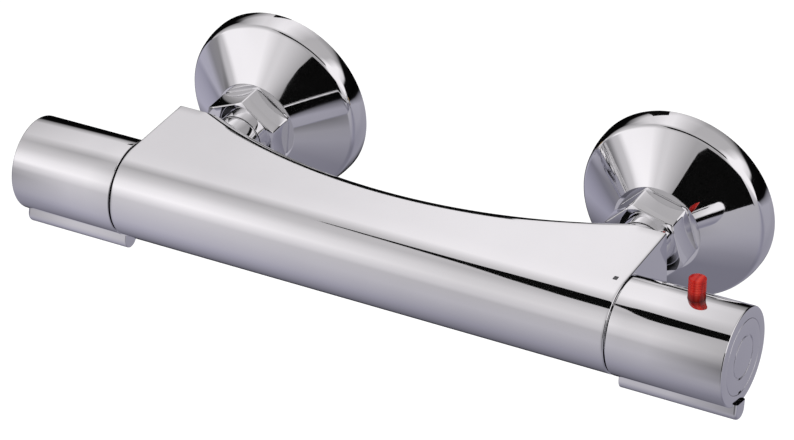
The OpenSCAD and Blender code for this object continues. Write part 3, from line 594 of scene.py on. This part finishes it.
# %% Index mark
def small_block(name, low, high, edge):
    """A block with rounded upright corners and a rounded top: a rounded rectangle drawn at two heights."""
    low, high = np.array(low), np.array(high)
    corners = [(low[0], low[1]), (high[0], low[1]), (high[0], high[1]), (low[0], high[1])]
    outline = rounded(corners, edge, loop=True)
    middle = (low + high)[:2] / 2
    top = middle + (outline - middle) * 0.93
    levels = [(middle + (outline - middle) * 0, low[2]), (outline, low[2]), (outline, high[2] - edge / 6),
              (top, high[2]), (middle + (outline - middle) * 0, high[2])]
    points = np.array([np.concatenate([ring, np.full((len(ring), 1), z)], axis=-1) for ring, z in levels])
    return make_piece(name, points)


gap = Vector((1, 1, 0)) * 0.02 * MM
cut(body, small_block("pocket", mark_low - gap, mark_high + gap + Vector((0, 0, MM)), 0.25 * MM))
finish_piece(body, "valve", "valve_body")
mark = small_block("deck_mark", mark_low, mark_high, 0.25 * MM)
finish_piece(mark, "valve", "index_mark")

# %% [markdown]
# ## The knobs
# Each knob is a deep turned cup with a hub inside. A grip bar runs along it: a half-round rib whose outer
# end stands a little proud of the end face. The rib is its own surface first, a half-round section drawn
# along the knob and rounded in at both ends, and is then joined to the cup.

# %% Knob sizes
KNOB_WALL = 2.3 * MM
RIM_R = 0.5 * MM
END_WALL = 4.2 * MM
HUB_R = 6.9 * MM
HUB_BORE = 5.45 * MM
HUB_IN = 15 * MM
WEB_LEN = 3 * MM
HEAD_LEN = 2.6 * MM
SCREW_HOLE = 2 * MM
HEAD_R = 4.2 * MM
GRIP_W = 6.6 * MM
GRIP_TOP = 20.7 * MM
GRIP_LIP = 1 * MM
GRIP_ROUND = 1.1 * MM
SEAT = 0.05 * MM
TEMPERATURE_GRIP = math.radians(-102)
FLOW_GRIP = math.radians(-107.5)
BUTTON_ANGLE = math.radians(83.5)


def knob_profile():
    """The cup's closed section as (place, radius), outside first."""
    seat = HALF_BAR - CAP_LEN
    web_end = seat - HEAD_LEN
    inner = BAR_R - KNOB_WALL
    floor = HALF_BAR - END_WALL
    hub = KNOB_START + HUB_IN
    points = [(KNOB_START, BAR_R), (HALF_BAR, BAR_R), (HALF_BAR, CAP_R + SEAT), (seat, CAP_R + SEAT),
              (seat, HEAD_R), (web_end, HEAD_R), (web_end, SCREW_HOLE),
              (web_end - WEB_LEN, SCREW_HOLE), (web_end - WEB_LEN, HUB_BORE), (hub, HUB_BORE), (hub, HUB_R),
              (floor, HUB_R), (floor, inner), (KNOB_START, inner)]
    radii = [0.25 * MM, RIM_R, 0.2 * MM] + [0.05 * MM] * (len(points) - 3)
    return rounded(points, radii, loop=True)


def grip_section(half, top):
    """A half-round rib standing on a foot inside the knob's wall, as (across, out)."""
    foot = BAR_R - KNOB_WALL / 2
    a = np.linspace(0, math.pi, 33)
    arc = np.stack([half * np.cos(a), top - half + half * np.sin(a)], axis=-1)
    t = np.linspace(0, 1, 7)[1:, None]
    down = np.array([[-half, top - half]]) + t * np.array([[0, foot - top + half]])
    across = np.array([[-half, foot]]) + t * np.array([[2 * half, 0]])
    up = np.array([[half, foot]]) + t[:-1] * np.array([[0, top - half - foot]])
    return np.concatenate([arc, down, across, up])


def grip_bar(name, angle):
    """The rib along X, shrunk by a small round at its inner end and a larger one at its outer end."""
    half = GRIP_W / 2
    end = HALF_BAR + GRIP_LIP
    rows = []
    for t in np.linspace(math.pi / 2, 0, 5):
        size = 0.3 * MM
        rows.append((KNOB_START + size - size * math.sin(t), size * (1 - math.cos(t))))
    for t in np.linspace(0, math.pi / 2, 9):
        rows.append((end - GRIP_ROUND + GRIP_ROUND * math.sin(t), GRIP_ROUND * (1 - math.cos(t))))
    sections = [grip_section(half - d, GRIP_TOP - d) for _, d in rows]
    middle = [np.broadcast_to(s.mean(axis=0), s.shape) for s in (sections[0], sections[-1])]
    sections = [middle[0]] + sections + [middle[1]]
    places = [rows[0][0]] + [x for x, _ in rows] + [rows[-1][0]]
    out = np.array([0, math.cos(angle), math.sin(angle)])
    across = np.array([0, -math.sin(angle), math.cos(angle)])
    points = np.array([s[:, 0:1] * across + s[:, 1:2] * out + np.array([x, 0, 0])
                       for x, s in zip(places, sections)])
    return make_piece(name, points + np.array([0, AXIS_Y, 0]))


def mirror_x(piece):
    """Turns a piece that was made on the right into its left-hand twin."""
    piece.data.transform(Matrix.Scale(-1, 4, (1, 0, 0)))
    tidy_mesh(piece)


def knob(name, angle):
    """A cup with its rib."""
    piece = turned(name, knob_profile(), "x", (0, AXIS_Y, 0), columns=192)
    cut(piece, grip_bar("rib", angle), "UNION")
    return piece


# %% [markdown]
# The temperature knob also has a guide for the override button: a hole through its wall, with a small
# boss inside that keeps the button's flange from coming out.

# %% Both knobs
BOSS_OUT = 4.6 * MM
BOSS_LOW = BAR_R - KNOB_WALL - 1.5 * MM


def radial(name, profile):
    """A turned piece about the button's axis, which leans out of the knob."""
    piece = turned(name, profile, "z", loop=False, columns=96)
    turn = Matrix.Rotation(BUTTON_ANGLE - math.pi / 2, 4, "X")
    piece.data.transform(Matrix.Translation((BUTTON_X, AXIS_Y, 0)) @ turn)
    return piece


right_knob = knob("knob_temperature", TEMPERATURE_GRIP)
wall_middle = BAR_R - KNOB_WALL / 2
cut(right_knob, radial("guide", [(BOSS_LOW, 0), (BOSS_LOW, BOSS_OUT), (wall_middle - 0.5 * MM, BOSS_OUT),
                                 (wall_middle - 0.5 * MM, 0)]), "UNION")
hole = BUTTON_R + SEAT
cut(right_knob, radial("hole", [(HUB_R + MM, 0), (HUB_R + MM, hole), (BAR_R + MM, hole), (BAR_R + MM, 0)]))
finish_piece(right_knob, "temperature_knob", "temperature_knob")

left_knob = knob("knob_flow", FLOW_GRIP)
mirror_x(left_knob)
finish_piece(left_knob, "flow_knob", "flow_knob")


# %% [markdown]
# The end caps are thin discs pressed into the knobs. Each has a plain shallow ring and a small notch in its
# edge, where a blade lifts it to reach the screw.

# %% End caps
RING_OUT = 7.15 * MM
RING_W = 0.55 * MM
RING_DEPTH = 0.3 * MM
NOTCH_W = 2 * MM
NOTCH_DEPTH = 0.8 * MM


def end_cap(name, angle):
    """A disc with a grooved ring, then a notch cut in its edge on the side of the grip bar."""
    face, back, floor = HALF_BAR, HALF_BAR - CAP_LEN, HALF_BAR - RING_DEPTH
    points = [(back, 0), (back, CAP_R), (face, CAP_R), (face, RING_OUT), (floor, RING_OUT),
              (floor, RING_OUT - RING_W), (face, RING_OUT - RING_W), (face, 0)]
    piece = turned(name, rounded(points, [0, 0.05 * MM, 0.2 * MM] + [0.08 * MM] * 4 + [0]), "x",
                   (0, AXIS_Y, 0), loop=False, columns=160)
    notch = small_block("notch", (back - MM, CAP_R - NOTCH_DEPTH, -NOTCH_W / 2),
                        (face + MM, CAP_R + NOTCH_W, NOTCH_W / 2), 0.2 * MM)
    notch.data.transform(Matrix.Translation((0, AXIS_Y, 0)) @ Matrix.Rotation(angle, 4, "X"))
    cut(piece, notch)
    return piece


right_cap = end_cap("cap_temperature", TEMPERATURE_GRIP)
finish_piece(right_cap, "temperature_knob", "temperature_knob_cap")
left_cap = end_cap("cap_flow", FLOW_GRIP)
mirror_x(left_cap)
finish_piece(left_cap, "flow_knob", "flow_knob_cap")

# %% [markdown]
# ## The override button
# A red peg with fine ribs round it and a slightly domed top. Its ribs are part of the turned profile, and
# its flange sits under the guide inside the knob.

# %% Button
BUTTON_TOP = BAR_R + 7.2 * MM
FLANGE_R = 3.7 * MM
FLANGE_LOW = BOSS_LOW - 1.05 * MM
RIB_COUNT = 5
RIB_DEPTH = 0.15 * MM


def button_profile():
    """From the flange up: a plain shank, a row of ribs as a rounded wave, then the dome as an arc."""
    low, high = BAR_R + 2 * MM, BUTTON_TOP - 1.1 * MM
    t = np.linspace(0, RIB_COUNT, RIB_COUNT * 12 + 1)
    wave = np.clip(np.cos(2 * math.pi * t) * 1.4, -1, 1)
    ribs = np.stack([low + (high - low) * t / RIB_COUNT, BUTTON_R - RIB_DEPTH * (1 - wave) / 2], axis=-1)
    a = np.linspace(0, math.pi / 2, 13)
    edge = 0.5 * MM
    rise = 0.35 * MM
    shoulder = np.stack([BUTTON_TOP - rise - edge + edge * np.sin(a),
                         BUTTON_R - edge + edge * np.cos(a)], axis=-1)
    s = np.linspace(1, 0, 12)[1:]
    dome = np.stack([BUTTON_TOP - rise * s ** 2, (BUTTON_R - edge) * s], axis=-1)
    foot = [(FLANGE_LOW, 0), (FLANGE_LOW, FLANGE_R), (FLANGE_LOW + MM, FLANGE_R), (FLANGE_LOW + MM, BUTTON_R)]
    return np.concatenate([foot, ribs, shoulder, dome])


button = radial("button_override", button_profile())
tidy_mesh(button)
finish_piece(button, "override_button", "override_button")

# %% [markdown]
# ## Rosettes, union nuts, tails and unions
# The rosettes are spun sheet: a straight cone that rolls over into a lip. The nuts are hexagons whose
# corners are turned down at both ends, so the edge of each chamfer is the curve where a cone meets a flat.
# A grid that goes round in angle and follows hexagon and cone row by row gives that curve exactly.

# %% Rosettes
rim_r = (nose_high.x - nose_low.x) / 2
NOSE_R = 15.2 * MM
NOSE_Y = nose_low.y
RIM_Y = -6.86 * MM
SHEET = 1.2 * MM
WEB = 2 * MM
COLLAR_R = 11.6 * MM
LIP_LEAN = math.tan(math.radians(11))
LIP_Y = -3.2 * MM
CONE_LEAN = (rim_r - NOSE_R) / (RIM_Y - NOSE_Y)
LIP_START = (LIP_LEAN * -LIP_Y + CONE_LEAN * RIM_Y) / (CONE_LEAN - LIP_LEAN)


def rosette(name, side):
    """The sheet's closed section as (depth, radius), swept round the inlet. The cone rolls over into a lip
    that leans a little and then runs straight to the wall. The lip starts where its line meets the cone's."""
    points = [(NOSE_Y, COLLAR_R + SEAT), (NOSE_Y, NOSE_R), (LIP_START, rim_r + CONE_LEAN * (LIP_START - RIM_Y)),
              (LIP_Y, rim_r), (0, rim_r), (0, rim_r - SHEET), (RIM_Y + SHEET / 2, rim_r - 2 * SHEET),
              (NOSE_Y + WEB, NOSE_R + SHEET / 2), (NOSE_Y + WEB, COLLAR_R + SEAT)]
    radii = np.array([0.2, 0.35, 3.5, 14, 0.2, 0.2, 2.5, 0.5, 0.2]) * MM
    piece = turned(name, rounded(points, radii, loop=True, steps=7), "y", (side * INLET_X, 0, 0), columns=192)
    return finish_piece(piece, "valve", "rosette_" + name.split("_")[-1])


rosette("wall_rose_hot", -1)
rosette("wall_rose_cold", 1)

# %% Union nuts
NUT_AF = 25.6 * MM
NUT_FACE_R = 13.3 * MM
NUT_EDGE = 0.35 * MM
NUT_HOLE = 8.45 * MM
NUT_LIP = 2.2 * MM
CORNER_POWER = 80
NUT_COLUMNS = 288


def corner_angle(node, x):
    """The direction of a hexagon's corner: where the CAD node's points lie farthest from its axis."""
    points = np.empty(len(node.data.vertices) * 3)
    node.data.vertices.foreach_get("co", points)
    points = points.reshape(-1, 3)
    far = np.argmax(np.hypot(points[:, 0] - x, points[:, 2]))
    return math.atan2(points[far, 2], points[far, 0] - x)


def union_nut(name, node, side):
    """A hexagon with soft corners: at angle a its radius is the apothem over the sum of powered cosines of
    the angles to its six flats. Each chamfer ends where a cone of slope two reaches that radius, and along
    the flats it never gets narrower than the polished edge."""
    x = side * INLET_X
    start = corner_angle(nodes[node], x)
    angle = np.linspace(0, 2 * math.pi, NUT_COLUMNS, endpoint=False)
    flats = math.pi / 6 + np.arange(6) * math.pi / 3
    lean = np.maximum(np.cos(angle[:, None] - flats), 0) ** CORNER_POWER
    hexagon = NUT_AF / 2 / lean.sum(-1) ** (1 / CORNER_POWER)
    face = np.minimum(NUT_FACE_R, hexagon - NUT_EDGE)
    slope = np.maximum((hexagon - face) / 2, NUT_EDGE)
    front, back = np.full_like(face, nut_low.y), np.full_like(face, nut_high.y)
    hole, bore, lip = face * 0 + NUT_HOLE, face * 0 + THREAD_MAJOR + SEAT, front + NUT_LIP
    corners = [(front, hole), (front, face), (front + slope, hexagon), (back - slope, hexagon), (back, face),
               (back, bore), (lip, bore), (lip, hole)]
    stack = np.array([np.stack(pair, axis=-1) for pair in corners])
    radii = np.array([0.4, 0.15, 0.3, 0.3, 0.15, 0.2, 0, 0]) * MM
    piece = turned(name, rounded(stack, radii, loop=True, steps=4), "y", (x, 0, 0), start=start)
    return finish_piece(piece, "valve", node)


union_nut("nut_hot", "union_nut_hot", -1)
union_nut("nut_cold", "union_nut_cold", 1)

# %% [markdown]
# Each tail is a turned piece, plated like the body: a shank with a seal groove in the body, a collar
# against the deck, a neck and a flange that the nut pulls on. The eccentric union behind it joins the tail
# to a pipe in the wall that need not be in line, so its two halves have axes a few millimetres apart, and
# its wall end has a pipe thread.

# %% Tails
DECK_Y = AXIS_Y + DECK_REACH
SHANK_R = 10.35 * MM
GROOVE_R = 8.5 * MM
GROOVE_LEN = 2.2 * MM
GROOVE_IN = 0.8 * MM
TAIL_COLLAR_R = 11.8 * MM
TAIL_COLLAR_LEN = 3 * MM
NECK_R = 8.3 * MM
FLANGE_LEN = 2.05 * MM
TAIL_FLANGE_R = 10.2 * MM


def inlet_tail(name, node, side):
    """The tail's closed section as (depth, radius)."""
    shank, end = tail_low.y, tail_high.y
    groove, collar, flange = DECK_Y - GROOVE_IN, DECK_Y + TAIL_COLLAR_LEN, end - FLANGE_LEN
    deep = groove - GROOVE_LEN
    points = [(shank, INLET_BORE), (shank, SHANK_R), (deep, SHANK_R), (deep, GROOVE_R), (groove, GROOVE_R),
              (groove, SHANK_R), (DECK_Y, SHANK_R), (DECK_Y, TAIL_COLLAR_R), (collar, TAIL_COLLAR_R),
              (collar, NECK_R), (flange, NECK_R), (flange, TAIL_FLANGE_R), (end, TAIL_FLANGE_R),
              (end, INLET_BORE)]
    radii = np.array([0.2, 0.5, 0.1, 0.1, 0.1, 0.1, 0, 0.2, 0.5, 0.8, 0.4, 0.2, 0.2, 0.2]) * MM
    piece = turned(name, rounded(points, radii, loop=True), "y", (side * INLET_X, 0, 0), columns=128)
    return finish_piece(piece, "valve", node)


inlet_tail("tail_hot", "inlet_tail_hot", -1)
inlet_tail("tail_cold", "inlet_tail_cold", 1)

# %% Eccentric unions
union_low, union_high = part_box("eccentric_union_cold")
OFFSET_Z = 5 * MM
UNION_BORE = 7 * MM
UNION_SHANK = 10.43 * MM
MID_Y = NOSE_Y + 7.5 * MM
LAP = 3 * MM
STEP_IN = 0.1 * MM


def eccentric_union(name, node, side):
    """Two turned halves whose axes lie apart in height, joined, threaded at the wall end and bored."""
    x = side * INLET_X
    low, high = union_low.y, union_high.y
    step, lap = NOSE_Y + STEP_IN, MID_Y + LAP
    front = [(low, 0), (low, UNION_SHANK), (step, UNION_SHANK), (step, COLLAR_R), (lap, COLLAR_R), (lap, 0)]
    radii = np.array([0, 0.4, 0.1, 0.2, 0.8, 0]) * MM
    piece = turned(name, rounded(front, radii), "y", (x, 0, 0), loop=False)
    rear = threaded("rear", 0, high, (1.5 * MM, 1.2 * MM), [(MID_Y, 0), (MID_Y, COLLAR_R), (0, COLLAR_R)],
                    [(high, 0)], (x, 0, OFFSET_Z), "y", False)
    cut(piece, rear, "UNION")
    for start, end, z in ((low - MM, MID_Y + LAP / 2, 0), (MID_Y, high + MM, OFFSET_Z)):
        bore = [(start, 0), (start, UNION_BORE), (end, UNION_BORE), (end, 0)]
        cut(piece, turned("bore", bore, "y", (x, 0, z), loop=False))
    return finish_piece(piece, "valve", node)


eccentric_union("union_hot", "eccentric_union_hot", -1)
eccentric_union("union_cold", "eccentric_union_cold", 1)

# %% [markdown]
# ## The camera
# The photograph was taken with a fairly long lens, from the right and above. The viewing direction is
# given by its azimuth, its height and a small roll, and the camera looks along it at a point near the
# middle of the bar.

# %% Camera
AZIMUTH, HEIGHT, ROLL = (math.radians(a) for a in (31.311, 33.354, -3.299))
DISTANCE = 1.025274
TARGET = Vector((-0.002139, 0.020 + AXIS_Y, 0.000314))
FOCAL_PIXELS, PHOTO_WIDTH, SENSOR = 3190, 794, 36

back = Vector((math.sin(AZIMUTH) * math.cos(HEIGHT), -math.cos(AZIMUTH) * math.cos(HEIGHT), math.sin(HEIGHT)))
level = Vector((math.cos(AZIMUTH), math.sin(AZIMUTH), 0))
upright = back.cross(level)
right = math.cos(ROLL) * level + math.sin(ROLL) * upright
up = -math.sin(ROLL) * level + math.cos(ROLL) * upright
lens = bpy.data.cameras.new("photo_camera")
lens.sensor_fit = "HORIZONTAL"
lens.sensor_width = SENSOR
lens.lens = FOCAL_PIXELS * SENSOR / PHOTO_WIDTH
lens.clip_start, lens.clip_end = 0.01, 60
camera = placed("photo_camera", lens)
turned_view = Matrix((right, up, back)).transposed().to_4x4()
camera.matrix_world = Matrix.Translation(TARGET + back * DISTANCE) @ turned_view
bpy.context.scene.camera = camera
print("lens, mm:", round(lens.lens, 2), "camera at", tuple(round(c, 4) for c in camera.location))

# %% [markdown]
# ## The studio
# Chrome has no colour of its own, so a product photographer builds what it reflects. Here a large tent
# stands round the valve, pale above and greyer below, with dark cards that draw the black lines along the
# edges. The tent and the cards are seen only in reflections. The tent's levels were not chosen freely: they
# began as tones sampled from the photograph, in lines round the bar and the cones, and were then adjusted.
# A pale floor and a white world make the background, and a soft lamp and the world light whatever isn't
# metal.

# %% Floor and world
def rays_seen_directly(tree):
    """One for camera, glossy and transmission rays, and zero for the rays that carry light."""
    path = tree.nodes.new("ShaderNodeLightPath").outputs
    seen = maths(tree, "MAXIMUM", path["Is Camera Ray"], path["Is Glossy Ray"])
    return maths(tree, "MAXIMUM", seen, path["Is Transmission Ray"])


world = bpy.data.worlds.new("studio_white")
bpy.context.scene.world = world
world.use_nodes = True
sky = world.node_tree.nodes["Background"]
sky.inputs["Color"].default_value = (1, 1, 1, 1)
strength = spread(world.node_tree, rays_seen_directly(world.node_tree), 0.85, 1, 0, 1)
world.node_tree.links.new(strength, sky.inputs["Strength"])

FLOOR_Z, FLOOR_HALF = -0.72, 9.0
floor_mesh = bpy.data.meshes.new("floor")
floor_mesh.from_pydata([(x, y, FLOOR_Z) for x, y in ((-1, -1), (1, -1), (1, 1), (-1, 1))], [], [(0, 1, 2, 3)])
floor_mesh.transform(Matrix.Diagonal((FLOOR_HALF, FLOOR_HALF, 1, 1)))
floor = placed("floor", floor_mesh)
paper, paper_tree, paper_shader, paper_coords = new_material("pale_floor", (0.9, 0.9, 0.9), roughness=0.9)
two_tone(paper_tree, noise(paper_tree, paper_coords, 3), (0.89, 0.89, 0.89), (0.91, 0.91, 0.91),
         paper_shader.inputs["Base Color"])
paper_shader.inputs["Emission Color"].default_value = (1, 1, 1, 1)
glow = spread(paper_tree, rays_seen_directly(paper_tree), 0, 0.28, 0, 1)
paper_tree.links.new(glow, paper_shader.inputs["Emission Strength"])
floor.data.materials.append(paper)


# %% The tent round the bar
TENT_R, TENT_HALF = 0.7, 3.6


def grey(level):
    """The light level that shows as a given 8-bit grey."""
    c = level / 255
    return c / 12.92 if c <= 0.04045 else ((c + 0.055) / 1.055) ** 2.4


def tint(place):
    """The shares of red, green and blue at an angle: neutral above the bar and a little blue beneath it."""
    return 1, 0.987, np.interp(place, [150, 180, 225, 262, 290, 320], [1, 1.015, 1.05, 1.1, 1.1, 1.06])


def tone_ramp(tree, angle, tones):
    """A ramp over the angle round the bar, in degrees from the wall side over the top."""
    stops = [(place / 360, [grey(level * share) for share in tint(place)]) for place, level in tones]
    return ramp(tree, angle, stops)


# The tent's bands of light, as (angle in degrees, 8-bit grey). They descend from samples of the photograph,
# adjusted by comparing renders with it, thinned and rounded to steps of 5.
EDGE_TONES = [(0, 5), (27, 10), (33, 130), (60, 165), (142, 205), (172, 140), (206, 135), (240, 170),
              (300, 175), (325, 110), (332, 10), (360, 5)]
FAR_LEFT_TONES = [(0, 5), (27, 10), (33, 130), (60, 165), (120, 205), (142, 250), (153, 250), (159, 200),
                  (167, 190), (176, 130), (190, 90), (207, 120), (225, 130), (254, 120), (277, 150),
                  (300, 170), (325, 110), (332, 10), (360, 5)]
BAR_LEFT_TONES = [(0, 5), (14, 10), (19, 150), (26, 190), (34, 220), (78, 225), (98, 175), (118, 210),
                  (134, 240), (150, 255), (174, 205), (230, 180), (246, 165), (290, 105), (308, 25),
                  (322, 10), (360, 5)]
BAR_TONES = [(0, 5), (9, 10), (14, 150), (20, 190), (34, 240), (78, 245), (98, 200), (118, 185), (134, 210),
             (150, 220), (166, 205), (174, 185), (198, 185), (246, 150), (290, 100), (308, 25), (322, 10),
             (360, 5)]
NEAR_TONES = [(0, 5), (27, 10), (32, 150), (42, 180), (100, 185), (152, 160), (182, 80), (208, 120),
              (220, 150), (232, 150), (259, 120), (280, 120), (300, 140), (342, 160), (349, 120), (353, 10),
              (360, 5)]
FAR_RIGHT_TONES = [(0, 5), (28, 10), (33, 215), (45, 250), (130, 250), (146, 225), (188, 175), (226, 165),
                   (262, 140), (280, 135), (322, 160), (342, 165), (349, 120), (353, 10), (360, 5)]


def tent_material():
    """A glow whose tone depends on the angle round the bar. Along the bar it changes from each band to the
    next between the two places given."""
    material = bpy.data.materials.new("tent_cloth")
    material.use_nodes = True
    tree = material.node_tree
    tree.nodes.remove(tree.nodes["Principled BSDF"])
    parts = places_of(tree, tree.nodes.new("ShaderNodeTexCoord").outputs["Object"])
    turn = maths(tree, "ARCTAN2", parts["Z"], maths(tree, "SUBTRACT", parts["Y"], AXIS_Y))
    share = maths(tree, "FLOORED_MODULO", maths(tree, "DIVIDE", turn, 2 * math.pi), 1)
    colour = tone_ramp(tree, share, EDGE_TONES)
    for start, end, tones in ((-2.6, -2.1, FAR_LEFT_TONES), (-0.95, -0.5, BAR_LEFT_TONES),
                              (-0.44, -0.27, BAR_TONES), (-0.19, 0.08, NEAR_TONES),
                              (0.45, 0.68, FAR_RIGHT_TONES)):
        along = spread(tree, parts["X"], 0, 1, start, end)
        colour = mixed(tree, along, colour, tone_ramp(tree, share, tones))
    light = tree.nodes.new("ShaderNodeEmission")
    tree.links.new(colour, light.inputs["Color"])
    tree.links.new(light.outputs["Emission"], tree.nodes["Material Output"].inputs["Surface"])
    return material


def only_in_reflections(thing):
    """Keeps a studio piece out of the picture, out of the light and out of the shadows."""
    thing.visible_camera = False
    thing.visible_diffuse = False
    thing.visible_transmission = False
    thing.visible_volume_scatter = False
    thing.visible_shadow = False


tent = turned("tent", [(-TENT_HALF, 0), (-TENT_HALF, TENT_R), (TENT_HALF, TENT_R), (TENT_HALF, 0)], "x",
              (0, AXIS_Y, 0), loop=False, columns=180)
tent.data.materials.append(tent_material())
only_in_reflections(tent)

# %% Dark cards
black_card = bpy.data.materials.new("black_card")
black_card.use_nodes = True
card_shader = black_card.node_tree.nodes["Principled BSDF"].inputs
card_shader["Base Color"].default_value = (0.004, 0.004, 0.004, 1)
card_shader["Specular IOR Level"].default_value = 0.0


def curved_card(name, places, middles, halves, radius):
    """A strip bent round the bar's axis: at place x it covers the angles middle - half to middle + half."""
    t = np.linspace(-1, 1, 13)
    angle = np.radians(np.array(middles)[:, None] + np.array(halves)[:, None] * t)
    points = np.stack([np.repeat(np.array(places)[:, None], len(t), axis=1), AXIS_Y + radius * np.cos(angle),
                       radius * np.sin(angle)], axis=-1)
    mesh = bpy.data.meshes.new(name)
    faces = skin_faces(points.shape[0], points.shape[1], False)
    faces = faces[np.arange(len(faces)) % points.shape[1] != points.shape[1] - 1]
    mesh.from_pydata(points.reshape(-1, 3).tolist(), [], faces.tolist())
    mesh.materials.append(black_card)
    only_in_reflections(placed(name, mesh))


curved_card("strip_card", [-0.352, -0.297, -0.262, -0.247, -0.235, -0.20, -0.16, -0.05, 0.1, 0.6],
            [101.2, 103.5, 105.2, 106.4, 107.4, 109.4, 110.5, 111.5, 112, 112],
            [0.7, 2.1, 3.6, 5.0, 6.6, 8.7, 8.7, 7.5, 7, 7], 0.68)
FRONT_X = np.array([0.05, 0.09, 0.115, 0.13, 0.16, 0.2, 0.3, 0.42, 0.5, 0.6, 0.69, 0.9])
FRONT_LOW = np.array([151.6, 149.6, 146.5, 144, 144, 144, 144, 144, 144, 144, 144, 144])
FRONT_HIGH = np.array([155, 160, 164, 167, 174, 178, 180, 181.5, 184, 187.5, 191.5, 194])
curved_card("front_card", FRONT_X, (FRONT_LOW + FRONT_HIGH) / 2, (FRONT_HIGH - FRONT_LOW) / 2, 0.68)
curved_card("waist_card", [-0.42, -0.252], [12.5, 12.5], [22, 22], 0.68)

# %% Lamp
lamp_data = bpy.data.lights.new("soft_lamp", "AREA")
lamp_data.shape = "RECTANGLE"
lamp_data.size, lamp_data.size_y = 1.4, 1.0
lamp_data.energy = 6
lamp = placed("soft_lamp", lamp_data)
lamp.location = (-0.5, -1.2, 1.5)
lamp.rotation_euler = (Vector(lamp.location) - TARGET).to_track_quat("Z", "Y").to_euler()
lamp.visible_glossy = False
lamp.visible_camera = False
bpy.context.scene.view_settings.view_transform = "Standard"

# %% [markdown]
# ## The last update
# The last line brings the scene up to date.

# %% Update the scene
bpy.context.view_layer.update()
